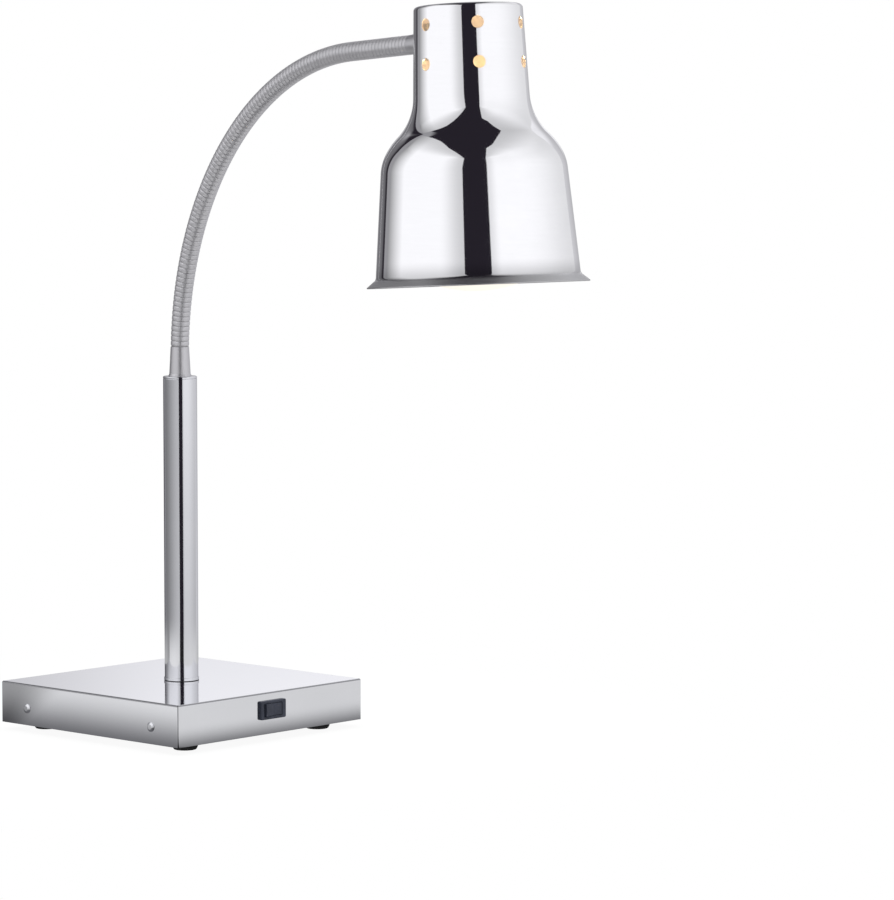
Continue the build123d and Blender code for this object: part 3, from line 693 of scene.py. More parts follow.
class Mesh:
    """Points, faces and corner normals of a piece while it is built."""

    def __init__(self):
        self.points = []
        self.faces = []
        self.normals = []
        self.kinds = []

    def ring(self, points):
        """Add points and return their numbers."""
        first = len(self.points)
        self.points += points
        return list(range(first, len(self.points)))

    def loop_ring(self, axes, loop, height):
        """Add the points of a loop at a height on some axes."""
        return self.ring([axes.at(x, y, height) for x, y, _, _ in loop])

    def face(self, corners, normals=None, kind=0):
        """Add a face, leaving out corners that repeat."""
        kept = [place for place, corner in enumerate(corners) if corner != corners[place - 1]]
        if len(kept) < 3:
            return
        self.faces.append([corners[place] for place in kept])
        self.normals.append([normals[place] for place in kept] if normals else None)
        self.kinds.append(kind)

    def flat(self, corners, normal):
        """Add a flat face."""
        self.face(corners, [normal] * len(corners))

    def band(self, low, high, low_normals=None, high_normals=None, kind=0, closed=True):
        """Join two rows of points with faces."""
        total = len(low)
        for here in range(total if closed else total - 1):
            after = (here + 1) % total
            normals = None
            if low_normals:
                normals = [low_normals[here], low_normals[after], high_normals[after], high_normals[here]]
            self.face([low[here], low[after], high[after], high[here]], normals, kind)

    def sweep(self, axes, loop, runs, kind=0):
        """Carry an outline round a loop that stands on an axis."""
        rows = {}

        def row(stop):
            key = (round(stop.x, 9), round(stop.y, 9))
            if key not in rows:
                spots = [axes.at(x, y, stop.y) for x, y, _, _ in loop(stop.x)]
                if (spots[0] - spots[len(spots) // 2]).length < tiny:
                    rows[key] = self.ring(spots[:1]) * len(spots)
                else:
                    rows[key] = self.ring(spots)
            return rows[key]

        for start, end, first, last in runs:
            around = loop(max(start.x, end.x))
            low, high = loop_normals(axes, around, first), loop_normals(axes, around, last)
            self.band(row(start), row(end), low, high, kind)

    def piece(self, name, *finishes):
        """Make the mesh object."""
        data = bpy.data.meshes.new(name)
        data.from_pydata([tuple(point) for point in self.points], [], self.faces)
        for finish in finishes:
            data.materials.append(finish)
        data.polygons.foreach_set("material_index", self.kinds)
        data.polygons.foreach_set("use_smooth", [True] * len(self.faces))
        if all(self.normals):
            data.normals_split_custom_set([tuple(normal) for corners in self.normals for normal in corners])
        data.update()
        made = bpy.data.objects.new(name, data)
        bpy.context.scene.collection.objects.link(made)
        return made


def settle(made, body, slot, *nodes):
    """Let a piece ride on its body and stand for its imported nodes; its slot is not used."""
    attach(made, body)
    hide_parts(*nodes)


def turned_piece(name, axes, corners, finish, segments):
    """Piece turned about an axis from one closed outline."""
    mesh = Mesh()
    mesh.sweep(axes, circle(segments), outline(corners, closed=True))
    return mesh.piece(name, finish)


def arm_point(distance):
    """Place and heading of the hose's centreline, at a distance along it from where the bend starts."""
    neck = bpy.context.scene.lamp_neck
    out = Vector((-sin(neck.heading), -cos(neck.heading), 0))
    side = Vector((cos(neck.heading), -sin(neck.heading), 0))
    radius = neck.bend_length / neck.bend_turn
    swing = min(max(distance, 0.0), neck.bend_length) / radius
    onward = out * sin(swing) + upward * cos(swing)
    place = out * radius * (1 - cos(swing)) + upward * (neck.bend_start + radius * sin(swing))
    return Axes(place + onward * (distance - swing * radius), onward, side)


def hose_links():
    """How many bodies are links of the hose: all but the base, the rocker and the head."""
    return len(frame["bodies"]) - 3


def hose_ribs():
    """Ribs from where the bend starts to the mouth of the upper ferrule."""
    neck = bpy.context.scene.lamp_neck
    return neck.root_ribs + hose_links() * neck.link_ribs + neck.tip_ribs


def head_axes():
    """Head's own axes: the origin is the middle of the rim and x points outwards along the arm."""
    neck = bpy.context.scene.lamp_neck
    head = bpy.context.scene.lamp_head
    end = arm_point(neck.bend_length)
    up = end.up.cross(end.x)
    return Axes(end.origin + end.up * head.reach - up * head.arm_height, up, end.up)


class PieceOperator:
    """What the operators that build pieces share."""

    bl_options = {"REGISTER"}


class HEATLAMP_OT_base_housing(PieceOperator, bpy.types.Operator):
    """Build the folded housing of the base with its open corner seams"""

    bl_idname = "heat_lamp.base_housing"
    bl_label = "Base housing"

    arc_steps = 4
    bend_steps = 7
    # Rows of the top bend that take the darker steel of the painted reflection line.
    painted_dark_rows = range(2, 6)
    groove = 0.9 * mm
    groove_fade = 0.95

    def execute(self, context):
        sizes = context.scene.lamp_base
        mesh = Mesh()
        rows = [self.row(mesh, sizes, 0.0, sizes.foot_height, self.groove, 0.0)]
        for step in range(self.bend_steps + 1):
            share = step / self.bend_steps
            tilt = pi / 2 * share
            inset = sizes.bend * (1 - cos(tilt))
            height = sizes.top - sizes.bend + sizes.bend * sin(tilt)
            depth = self.groove * (1 - self.groove_fade * share)
            rows.append(self.row(mesh, sizes, inset, height, depth, tilt))
        for place, (low, high) in enumerate(zip(rows, rows[1:])):
            self.join_rows(mesh, low, high, 1 if place in self.painted_dark_rows else 0)
        mesh.flat([number for side, _, seam, _ in rows[-1] for number in (*side, *seam)], upward)
        inner_side = sizes.side - 2 * sizes.sheet
        inner = box_loop(inner_side, inner_side, 0.4 * mm)
        roof = sizes.top - sizes.sheet
        mesh.sweep(floor_axes, inner, outline([(0, roof), (0, sizes.foot_height)]))
        mesh.flat(mesh.loop_ring(floor_axes, inner(0), roof)[::-1], -upward)
        outer_edge = [number for side, _, _, _ in rows[0] for number in side]
        self.join_edges(mesh, outer_edge, mesh.loop_ring(floor_axes, inner(0), sizes.foot_height))
        # The bend rows along the top edges get a darker copy of the steel: a painted dark reflection line.
        shade, lines = scaled(shade_of("steel"), 0.42), (900, 900, 30)
        painted_bend_finish = finish_of("Folded steel", polished_metal, shade, gloss=0.2, lines=lines, wave=0.01 * mm)
        made = mesh.piece("Base_housing", steel(), painted_bend_finish)
        settle(made, "base", "polished_steel", "base_housing")
        return {"FINISHED"}

    def row(self, mesh, sizes, inset, height, depth, tilt):
        """Four sides at one height, each with its points, normals, the seam after it and the way inwards."""
        corner_loss, least_corner = 0.4, 0.3 * mm
        spread = sizes.seam / 2 / sizes.corner
        rounding = max(sizes.corner - inset * corner_loss, least_corner)
        reach = sizes.side / 2 - inset - rounding
        sides = []
        for quarter in range(4):
            swing = Matrix.Rotation(quarter * pi / 2, 3, "Z")
            points, normals = [], []
            for way, start, end in ((-1, -pi * 0.75 + spread, -pi / 2), (1, -pi / 2, -pi / 4 - spread)):
                for step in range(self.arc_steps + 1):
                    angle = start + (end - start) * step / self.arc_steps
                    out = Vector((cos(angle), sin(angle), 0))
                    points.append(swing @ (Vector((way * reach, -reach, height)) + out * rounding))
                    normals.append((swing @ out) * cos(tilt) + upward * sin(tilt))
            sides.append((points, normals, swing @ Vector((-sqrt(0.5), sqrt(0.5), 0))))
        row = []
        for quarter, (points, normals, inward) in enumerate(sides):
            after = sides[(quarter + 1) % 4][0][0]
            seam = [points[-1] + inward * depth, after + inward * depth]
            row.append((mesh.ring(points), normals, mesh.ring(seam), inward))
        return row

    def join_rows(self, mesh, low, high, kind):
        """Faces of the sides and the seams between two heights."""
        for quarter in range(4):
            after = (quarter + 1) % 4
            side, normals, seam, inward = low[quarter]
            high_side, high_normals, high_seam, _ = high[quarter]
            mesh.band(side, high_side, normals, high_normals, kind, closed=False)
            across = inward.cross(upward)
            chain = [side[-1], *seam, low[after][0][0]]
            high_chain = [high_side[-1], *high_seam, high[after][0][0]]
            for link, normal in enumerate((-across, -inward, across)):
                pair = slice(link, link + 2)
                mesh.band(chain[pair], high_chain[pair], [normal] * 2, [normal] * 2, closed=False)

    def join_edges(self, mesh, outer, inner):
        """Close the lower edge of the sheet between its outer and inner faces."""

        def angle(number):
            spot = mesh.points[number]
            return atan2(spot.y, spot.x)

        def angle_after(numbers, place):
            after = place + 1
            return angle(numbers[after % len(numbers)]) + (2 * pi if after >= len(numbers) else 0)

        outer = sorted(outer, key=angle)
        inner = sorted(inner, key=angle)
        place, other = 0, 0
        while place < len(outer) or other < len(inner):
            here, there = outer[place % len(outer)], inner[other % len(inner)]
            outer_first = angle_after(outer, place) <= angle_after(inner, other)
            if other >= len(inner) or (place < len(outer) and outer_first):
                place += 1
                mesh.flat([here, there, outer[place % len(outer)]], -upward)
            else:
                other += 1
                mesh.flat([here, there, inner[other % len(inner)]], -upward)


class HEATLAMP_OT_feet(PieceOperator, bpy.types.Operator):
    """Build the four rubber feet"""

    bl_idname = "heat_lamp.feet"
    bl_label = "Rubber feet"

    def execute(self, context):
        sizes = context.scene.lamp_base
        shade = shade_of("rubber")
        finish = finish_of("Foot rubber", moulded, shade, gloss=0.62, fineness=1500.0, relief=0.05 * mm)
        places = {"front_left": (-1, -1), "front_right": (1, -1), "rear_left": (-1, 1), "rear_right": (1, 1)}
        recess, deep, bore = 4.5 * mm, 3.0 * mm, 2.05 * mm
        edge = 1.2 * mm
        corners = [
            (recess, 0, 0.4 * mm),
            (sizes.foot_radius - 1.3 * mm, 0, edge),
            (sizes.foot_radius, 2.4 * mm, edge),
            (sizes.foot_radius - 0.2 * mm, sizes.foot_height),
            (bore, sizes.foot_height),
            (bore, deep),
            (recess, deep),
        ]
        for name, (way_x, way_y) in places.items():
            origin = (way_x * sizes.foot_spacing / 2, way_y * sizes.foot_depth / 2, 0)
            made = turned_piece(f"Foot_{name}", Axes(origin, upward, (1, 0, 0)), corners, finish, 48)
            settle(made, "base", "foot_rubber", f"foot_{name}")
        return {"FINISHED"}


class HEATLAMP_OT_rivets(PieceOperator, bpy.types.Operator):
    """Build the domed rivets on the base's left and right sides"""

    bl_idname = "heat_lamp.rivets"
    bl_label = "Side rivets"

    def execute(self, context):
        sizes = context.scene.lamp_base
        mesh = Mesh()
        stand, shank = 1.6 * mm, 1.6 * mm
        grip, tail = -2.75 * mm, 2.6 * mm
        end = grip - 1.4 * mm
        dome = [
            (0, end),
            (tail, end, 0.4 * mm),
            (tail, grip),
            (shank, grip),
            (shank, 0),
            (sizes.rivet_radius, 0),
            (sizes.rivet_radius, 0.35 * mm, 0.25 * mm),
            (sizes.rivet_radius * 0.62, stand, 1.6 * mm),
            (0, stand),
        ]
        for way in (-1, 1):
            for place in (-sizes.rivet_spacing / 2, sizes.rivet_spacing / 2):
                origin = (way * sizes.side / 2, place, sizes.rivet_height)
                mesh.sweep(Axes(origin, (way, 0, 0), upward), circle(40), outline(dome, 6))
        settle(mesh.piece("Side_rivets", steel()), "base", "polished_steel", "side_rivets")
        return {"FINISHED"}


class HEATLAMP_OT_switch(PieceOperator, bpy.types.Operator):
    """Build the rocker switch: a bezel with a pocket, and the rocker in it"""

    bl_idname = "heat_lamp.switch"
    bl_label = "Rocker switch"

    def execute(self, context):
        sizes = context.scene.lamp_base
        shade = shade_of("plastic")
        finish = finish_of("Switch plastic", moulded, shade, gloss=0.30, fineness=2200.0, relief=0.012 * mm)
        panel = Axes((0, -sizes.side / 2, sizes.switch_height), (0, -1, 0), (1, 0, 0))
        stand = sizes.bezel_stand
        floor, back = stand - 10.0 * mm, -19.0 * mm
        rim = 1.6 * mm
        bevel, bevel_top, bevel_foot = 0.3 * mm, stand - 0.2 * mm, stand - 0.4 * mm
        outer = box_loop(sizes.bezel_width, sizes.bezel_depth, 1.3 * mm)
        pocket = box_loop(21.0 * mm, 11.0 * mm, 0.5 * mm)
        body = box_loop(25.0 * mm, 13.4 * mm, 0.6 * mm)
        mesh = Mesh()
        mesh.sweep(panel, outer, outline([(0, 0), (0, stand, 0.5 * mm), (-rim, stand)]))
        mesh.sweep(panel, pocket, outline([(bevel, bevel_top), (0, bevel_foot, 0.1 * mm), (0, floor)]))
        high = mesh.loop_ring(panel, outer(-rim), stand)
        low = mesh.loop_ring(panel, pocket(bevel), bevel_top)
        mesh.band(high, low, [panel.up] * len(high), [panel.up] * len(low))
        mesh.flat(mesh.loop_ring(panel, pocket(0), floor), panel.up)
        mesh.sweep(panel, body, outline([(0, back), (0, 0)]))
        mesh.flat(mesh.loop_ring(panel, body(0), back)[::-1], -panel.up)
        made = mesh.piece("Switch_bezel", finish)
        settle(made, "base", "switch_plastic", "switch_body")
        self.add_rocker(sizes, finish)
        return {"FINISHED"}

    def add_rocker(self, sizes, finish):
        """Rocker with two flats that meet in a valley, its right half pressed in."""
        throw = radians(6.0)
        pivot_depth = 3.2 * mm
        pivot = Axes(
            (0, -sizes.side / 2 - sizes.bezel_stand + pivot_depth, sizes.switch_height),
            upward,
            (cos(throw), sin(throw), 0),
        )
        half, reach = 10.0 * mm, 5.25 * mm
        front, valley = 4.7 * mm, 1.0 * mm
        heel, heel_depth, taper = 1.7 * mm, 3.5 * mm, 0.5 * mm
        shape = [
            (-half, -front + valley),
            (-half * 0.5, -front + 1.35 * valley),
            (0, -front + 2 * valley),
            (half * 0.5, -front + 1.35 * valley),
            (half, -front + valley),
            (half - taper, 0),
            (heel, heel_depth),
            (-heel, heel_depth),
            (-half + taper, 0),
        ]
        mesh = Mesh()
        low = mesh.ring([pivot.at(x, y, -reach) for x, y in shape])
        high = mesh.ring([pivot.at(x, y, reach) for x, y in shape])
        mesh.band(low, high)
        mesh.face(low[::-1])
        mesh.face(high)
        made = mesh.piece("Switch_rocker", finish)
        edges = made.modifiers.new("Rounded edges", "BEVEL")
        edges.width = 0.45 * mm
        edges.segments = 3
        edges.limit_method = "ANGLE"
        edges.angle_limit = radians(5)
        edges.harden_normals = True
        settle(made, "rocker", "switch_plastic", "switch_rocker")


class HEATLAMP_OT_cable_gland(PieceOperator, bpy.types.Operator):
    """Build the cable gland on the back of the base"""

    bl_idname = "heat_lamp.cable_gland"
    bl_label = "Cable gland"

    def execute(self, context):
        sizes = context.scene.lamp_base
        back = Axes((0, sizes.side / 2, sizes.gland_height), (0, 1, 0), (-1, 0, 0))
        segments = 96
        flutes, flute_depth, flute_start, flute_fade = 16, 0.45 * mm, 5.8 * mm, 1.5 * mm
        across_flats = 0.905

        def fluted(radius, angle):
            """Radius with grip flutes that fade towards the bore."""
            depth = flute_depth * min(1.0, max(0.0, (radius - flute_start) / flute_fade))
            return radius - depth * max(0.0, cos(flutes * angle)) ** 2

        def hexagon(radius, angle):
            """Radius of a hexagon with rounded corners."""
            wedge = (angle + pi / 6) % (pi / 3) - pi / 6
            return min(radius, radius * across_flats / cos(wedge))

        bore, thread, thread_end = 4.0 * mm, 8.0 * mm, -10.0 * mm
        seat, nut, nut_top = 10.6 * mm, 11.0 * mm, 4.0 * mm
        throat, cap, cap_end = 7.0 * mm, 7.6 * mm, 13.0 * mm
        stem = [(bore, thread_end), (thread, thread_end, 0.6 * mm), (thread, 0), (seat, 0)]
        collar = [(seat, 0), (nut, 0.4 * mm), (nut, 3.6 * mm), (10.5 * mm, nut_top), (throat, nut_top)]
        dome = [
            (throat, nut_top),
            (cap, 4.3 * mm),
            (cap, 10.6 * mm, 1.2 * mm),
            (5.5 * mm, cap_end, 0.5 * mm),
            (bore, cap_end, 0.3 * mm),
            (bore, thread_end),
        ]
        mesh = Mesh()
        for corners, radius_at in ((stem, None), (collar, hexagon), (dome, fluted)):
            mesh.sweep(back, circle(segments, radius_at), outline(corners))
        mesh.normals = [None] * len(mesh.faces)
        made = mesh.piece("Cable_gland", gland_plastic())
        settle(made, "base", "gland_plastic", "cable_gland")
        return {"FINISHED"}


class HEATLAMP_OT_post(PieceOperator, bpy.types.Operator):
    """Build the post with the collar at its foot and the cap on its top"""

    bl_idname = "heat_lamp.post"
    bl_label = "Post"

    segments = 96

    def execute(self, context):
        sizes = context.scene.lamp_base
        radius, top = sizes.post_radius, sizes.top
        wall, cap, fit = 1.5 * mm, 2.0 * mm, 0.05 * mm
        shoulder = sizes.post_top - cap
        inner = radius - wall
        tube = [(inner, top), (radius, top), (radius, shoulder, 0.3 * mm), (inner, shoulder)]
        made = turned_piece("Post_tube", floor_axes, tube, steel(), self.segments)
        settle(made, "base", "polished_steel", "post_tube")
        self.add_collar(radius, top, fit)
        plug, plug_end, spigot = inner - fit, shoulder - 12.0 * mm, 6.05 * mm
        lid = [
            (spigot, plug_end),
            (plug, plug_end),
            (plug, shoulder + fit),
            (radius - 0.25 * mm, shoulder + fit, 0.1 * mm),
            (radius, shoulder + 0.3 * mm, 0.1 * mm),
            (radius, sizes.post_top, 0.9 * mm),
            (spigot, sizes.post_top),
        ]
        made = turned_piece("Post_cap", floor_axes, lid, steel(), self.segments)
        settle(made, "base", "polished_steel", "post_cap")
        return {"FINISHED"}

    def add_collar(self, radius, foot, fit):
        """Thin steel collar round the post, on a dark bead that is painted shade under the collar."""
        shade = shade_of("rubber")
        shadow_bead_finish = finish_of("Collar seal", moulded, shade, gloss=0.6, fineness=1500.0, relief=0.03 * mm)
        lip, top = foot + 0.5 * mm, foot + 2.8 * mm
        outer, inner, bead_outer = radius + 0.5 * mm, radius + fit, radius + 0.3 * mm
        ring = [(radius + 0.2 * mm, lip), (outer, lip), (outer, top, 0.42 * mm), (inner, top), (inner, foot)]
        # The dark bead is painted shade: a dark ring where the collar meets the housing.
        bead = [(inner, foot), (bead_outer, foot), (bead_outer, lip)]
        mesh = Mesh()
        for kind, corners in enumerate((ring, bead)):
            mesh.sweep(floor_axes, circle(self.segments), outline(corners), kind)
        settle(mesh.piece("Post_collar", steel(), shadow_bead_finish), "base", "polished_steel", "post_collar")


class HEATLAMP_OT_ferrules(PieceOperator, bpy.types.Operator):
    """Build the tapered ferrules at the two ends of the hose"""

    bl_idname = "heat_lamp.ferrules"
    bl_label = "Ferrules"

    def execute(self, context):
        neck = context.scene.lamp_neck
        foot = Axes((0, 0, context.scene.lamp_base.post_top), upward, (1, 0, 0))
        lower = self.sleeve("Lower_ferrule", foot, neck, neck.ferrule_length, 10.0 * mm)
        settle(lower, "base", "polished_steel", "lower_ferrule")
        mouth = arm_point(hose_ribs() * neck.rib_pitch)
        far = Axes(mouth.origin + mouth.up * neck.upper_ferrule_length, -mouth.up, mouth.x)
        upper = self.sleeve("Upper_ferrule", far, neck, neck.upper_ferrule_length, 4.0 * mm)
        settle(upper, "head", "polished_steel", "upper_ferrule")
        return {"FINISHED"}

    def sleeve(self, name, axes, neck, reach, spigot):
        """Tapered sleeve with a lip at its foot and a spigot below it."""
        seat, relief, seat_floor = 7.25 * mm, 0.15 * mm, 6.0 * mm
        stem, bore = 6.0 * mm, 5.05 * mm
        corners = [
            (bore, -spigot),
            (stem, -spigot),
            (stem, 0),
            (neck.ferrule_lip, 0),
            (neck.ferrule_lip, 0.5 * mm, 0.25 * mm),
            (neck.ferrule_foot, 1.9 * mm, 1.6 * mm),
            (neck.ferrule_mouth, reach, 0.2 * mm),
            (seat + relief, reach),
            (seat, seat_floor),
            (bore, seat_floor),
        ]
        return turned_piece(name, axes, corners, satin(), 72)


class HEATLAMP_OT_hose(PieceOperator, bpy.types.Operator):
    """Build the ribbed hose in lengths, each running across one of its joints"""

    bl_idname = "heat_lamp.hose"
    bl_label = "Ribbed hose"

    segments = 40
    groove_share = 0.5
    rib_rise = ((0.0, 0.0), (0.05, 0.15), (0.09, 0.62), (0.14, 0.86), (0.22, 0.95), (0.35, 0.99))
    rib_fall = ((0.5, 1.0), (0.65, 0.99), (0.78, 0.95), (0.86, 0.86), (0.91, 0.62), (0.95, 0.15))

    def execute(self, context):
        neck = context.scene.lamp_neck
        finish = finish_of("Hose steel", ribbed_steel, shade_of("hose"))
        joints = hose_links() + 1
        last_rib = hose_ribs()
        cut = neck.link_ribs // 2
        reach = cut - 1
        for joint in range(joints):
            at = neck.root_ribs + joint * neck.link_ribs
            start = neck.hidden_ribs if joint == 0 else at - neck.link_ribs + cut
            end = last_rib if joint == joints - 1 else at + cut
            made = self.length_of_hose(f"Hose_length_{joint + 1}", neck, start, end, finish)
            before = arm_point((at - min(reach, at - neck.hidden_ribs)) * neck.rib_pitch)
            after = arm_point((at + reach) * neck.rib_pitch)
            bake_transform(made)
            covered = [f"hose_link_{joint + 1}"] if joint < joints - 1 else ["hose_tip"]
            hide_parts(*(covered + ["hose_root"] if joint == 0 else covered))
        return {"FINISHED"}

    def length_of_hose(self, name, neck, start, end, finish):
        """Ribs from one groove to another, with how deep each point lies in a groove."""
        stops = [(start - 1, 0.0)] if start == neck.hidden_ribs else []
        for rib in range(start, end):
            stops += [(rib + share, rise) for share, rise in self.rib_rise + self.rib_fall]
        stops.append((end, 0.0))
        if end == hose_ribs():
            stops.append((end + 1, 0.0))
        mesh = Mesh()
        depths, rows = [], []
        for share, rise in stops:
            radius = neck.groove_radius + (neck.hose_radius - neck.groove_radius) * rise
            rows.append(mesh.loop_ring(arm_point(share * neck.rib_pitch), circle(self.segments)(radius), 0))
            depths += [max(0.0, 1.0 - rise / self.groove_share)] * self.segments
        for low, high in zip(rows, rows[1:]):
            mesh.band(low, high)
        made = mesh.piece(name, finish)
        groove = made.data.attributes.new("groove", "FLOAT", "POINT")
        groove.data.foreach_set("value", depths)
        return made


class HEATLAMP_OT_shade(PieceOperator, bpy.types.Operator):
    """Build the spun shade with its flared rim, shoulder, vents and arm hole"""

    bl_idname = "heat_lamp.shade"
    bl_label = "Shade"

    segments = 192
    patch_half = 6
    vent_columns = 6
    vent_rows = (9.8 * mm, -20.2 * mm)
    arm_hole = 5.05 * mm

    def execute(self, context):
        sizes = context.scene.lamp_head
        axes = head_axes()
        polish = {"gloss": 0.035, "lines": (40, 40, 700), "wave": 0.012 * mm, "hem": axes}
        outside = finish_of("Shade metal", polished_metal, shade_of("shade"), **polish)
        inside = finish_of("Shade lining", satin_lining, shade_of("lining"), shade_of("warmth"), axes)
        spacing = self.segments // self.vent_columns
        holes = []
        for rise in self.vent_rows:
            for column in range(self.vent_columns):
                holes.append((spacing // 2 + spacing * column, sizes.arm_height + rise, sizes.vent_radius))
        holes.append((self.segments // 2, sizes.arm_height, self.arm_hole))
        mesh = Mesh()
        outer_rims, outer_edge = self.skin(mesh, axes, sizes, holes, 0.0, 0)
        inner_rims, inner_edge = self.skin(mesh, axes, sizes, holes, sizes.sheet, 1)
        for outer, inner in zip(outer_rims, inner_rims):
            normals = self.rim_normals(mesh, outer, inner)
            mesh.band(outer, inner, normals, normals, kind=1)
        self.hem(mesh, axes, outer_edge, inner_edge)
        made = mesh.piece("Shade", outside, inside)
        settle(made, "head", "shade_metal", "shade")
        return {"FINISHED"}

    def rim_normals(self, mesh, outer, inner):
        """Normals that point into a hole from its edge."""
        middle = sum((mesh.points[number] for number in outer), Vector()) / len(outer)
        normals = []
        for near, far in zip(outer, inner):
            through = (mesh.points[far] - mesh.points[near]).normalized()
            inward = middle - mesh.points[near]
            normals.append((inward - through * inward.dot(through)).normalized())
        return normals

    def profile(self, sizes, inset):
        """Wall of the shade from the rim to the middle of the crown, set in by a distance."""
        corners = (
            (sizes.rim_radius, 0.0, 0.0),
            (sizes.waist_radius, sizes.waist_height, 4.0 * mm + inset),
            (sizes.shoulder_radius, sizes.shoulder_height, 37.0 * mm - inset),
            (sizes.brow_radius, sizes.brow_height, 60.0 * mm - inset),
            (sizes.neck_radius, sizes.neck_height, 43.0 * mm + inset),
            (sizes.crown_radius, sizes.height, 3.0 * mm - inset),
            (0.0, sizes.height, 0.0),
        )
        spots = [Vector(corner[:2]) for corner in corners]
        outs = [Vector((b.y - a.y, a.x - b.x)).normalized() for a, b in zip(spots, spots[1:])]
        outs = [outs[0], *outs, outs[-1]]
        inner = []
        for spot, corner, before, after in zip(spots, corners, outs, outs[1:]):
            place = spot - (before + after) * inset / (1 + before.dot(after))
            inner.append((place.x, place.y, corner[2]))
        return outline(inner, 14)

    def wall_runs(self, sizes, inset):
        """Runs of the wall cut into short ones, each with whether it is on the straight neck."""
        neck_step, long_run, long_step = 2.0 * mm, 12.0 * mm, 8.0 * mm
        crown_reach = 20.0 * mm
        runs = []
        for start, end, first, last in self.profile(sizes, inset):
            parts = 1
            reach = (end - start).length
            on_neck = abs(first.x - last.x) < tiny and start.y > sizes.neck_height and end.x > crown_reach
            if on_neck:
                parts = max(1, round((end.y - start.y) / neck_step))
            elif reach > long_run:
                parts = round(reach / long_step)
            for part in range(parts):
                low, high = start.lerp(end, part / parts), start.lerp(end, (part + 1) / parts)
                runs.append((low, high, first, last, on_neck))
        return runs

    def skin(self, mesh, axes, sizes, holes, inset, kind):
        """One face of the sheet, with its holes left open; returns the hole edges and the rim."""
        sign = -1 if inset else 1
        column_turn = 2 * pi / self.segments
        margin = 1.8 * mm
        runs = self.wall_runs(sizes, inset)
        around = circle(self.segments)
        foot = runs[0][0]
        rows = [mesh.loop_ring(axes, around(foot.x), foot.y)]
        for _, end, _, _, _ in runs:
            if end.x < tiny:
                rows.append(mesh.ring([axes.at(0, 0, end.y)]) * self.segments)
            else:
                rows.append(mesh.loop_ring(axes, around(end.x), end.y))

        def normal(out, angle):
            """Normal of the sheet at an angle round the axis."""
            return axes.along(out.x * cos(angle), out.x * sin(angle), out.y) * sign

        neck_rows = [place for place, run in enumerate(runs) if run[4]]
        patches = []
        for column, height, radius in holes:
            low = max(place for place in neck_rows if runs[place][0].y <= height - radius - margin)
            high = min(place for place in neck_rows if runs[place][1].y >= height + radius + margin)
            patches.append((column, height, radius, low, high + 1))
        for place, (_, _, first, last, _) in enumerate(runs):
            for column in range(self.segments):
                if any(self.covers(patch, place, column) for patch in patches):
                    continue
                after = (column + 1) % self.segments
                left, right = column_turn * column, column_turn * (column + 1)
                low, high = rows[place], rows[place + 1]
                corners = [low[column], low[after], high[after], high[column]]
                normals = [normal(first, left), normal(first, right), normal(last, right), normal(last, left)]
                mesh.face(corners[::sign], normals[::sign], kind)
        base, tip = runs[neck_rows[0]][0], runs[neck_rows[-1]][1]
        out = runs[neck_rows[0]][2]
        slope = (tip.x - base.x) / (tip.y - base.y)
        rims = []
        for column, height, radius, low, high in patches:
            left, right = column - self.patch_half, column + self.patch_half
            border = [(low, step) for step in range(left, right)]
            border += [(row, right) for row in range(low, high)]
            border += [(high, step) for step in range(right, left, -1)]
            border += [(row, left) for row in range(high, low, -1)]
            border_points = [rows[row][step % self.segments] for row, step in border]
            border_normals = [normal(out, column_turn * step) for _, step in border]
            middle = column_turn * column
            sideways = axes.along(-sin(middle), cos(middle), 0)
            edge_points, edge_normals = [], []
            for number in border_points:
                spot = mesh.points[number] - axes.at(0, 0, height)
                across, rise = spot.dot(sideways), spot.dot(axes.up)
                scale = radius / hypot(across, rise)
                edge_height = height + rise * scale
                wall = base.x + slope * (edge_height - base.y)
                swing = middle + asin(across * scale / wall)
                edge_points.append(axes.at(wall * cos(swing), wall * sin(swing), edge_height))
                edge_normals.append(normal(out, swing))
            edge = mesh.ring(edge_points)
            (low, low_normals), (high, high_normals) = (
                (border_points, border_normals),
                (edge, edge_normals),
            )[::sign]
            mesh.band(low, high, low_normals, high_normals, kind)
            rims.append(edge)
        return rims, rows[0]

    def covers(self, patch, row, column):
        """Whether a hole's patch takes the place of one face of the wall."""
        middle, _, _, low, high = patch
        across = (column - middle + self.patch_half) % self.segments
        return low <= row < high and across < 2 * self.patch_half

    def hem(self, mesh, axes, outer, inner):
        """Rounded edge of the sheet at the rim."""
        steps = 6
        around = circle(self.segments)

        def section(number):
            """Radius and height of a point in the first column."""
            spot = mesh.points[number] - axes.origin
            return Vector((spot.dot(axes.x), spot.dot(axes.up)))

        near, far = section(outer[0]), section(inner[0])
        middle, reach = (near + far) / 2, (near - far) / 2
        rows, outs = [inner], [-reach]
        for step in range(1, steps):
            out = Matrix.Rotation(pi * step / steps, 2) @ -reach
            spot = middle + out
            rows.append(mesh.loop_ring(axes, around(spot.x), spot.y))
            outs.append(out)
        rows.append(outer)
        outs.append(reach)
        normals = [loop_normals(axes, around(1.0), out.normalized()) for out in outs]
        for place in range(steps):
            mesh.band(rows[place], rows[place + 1], normals[place], normals[place + 1])


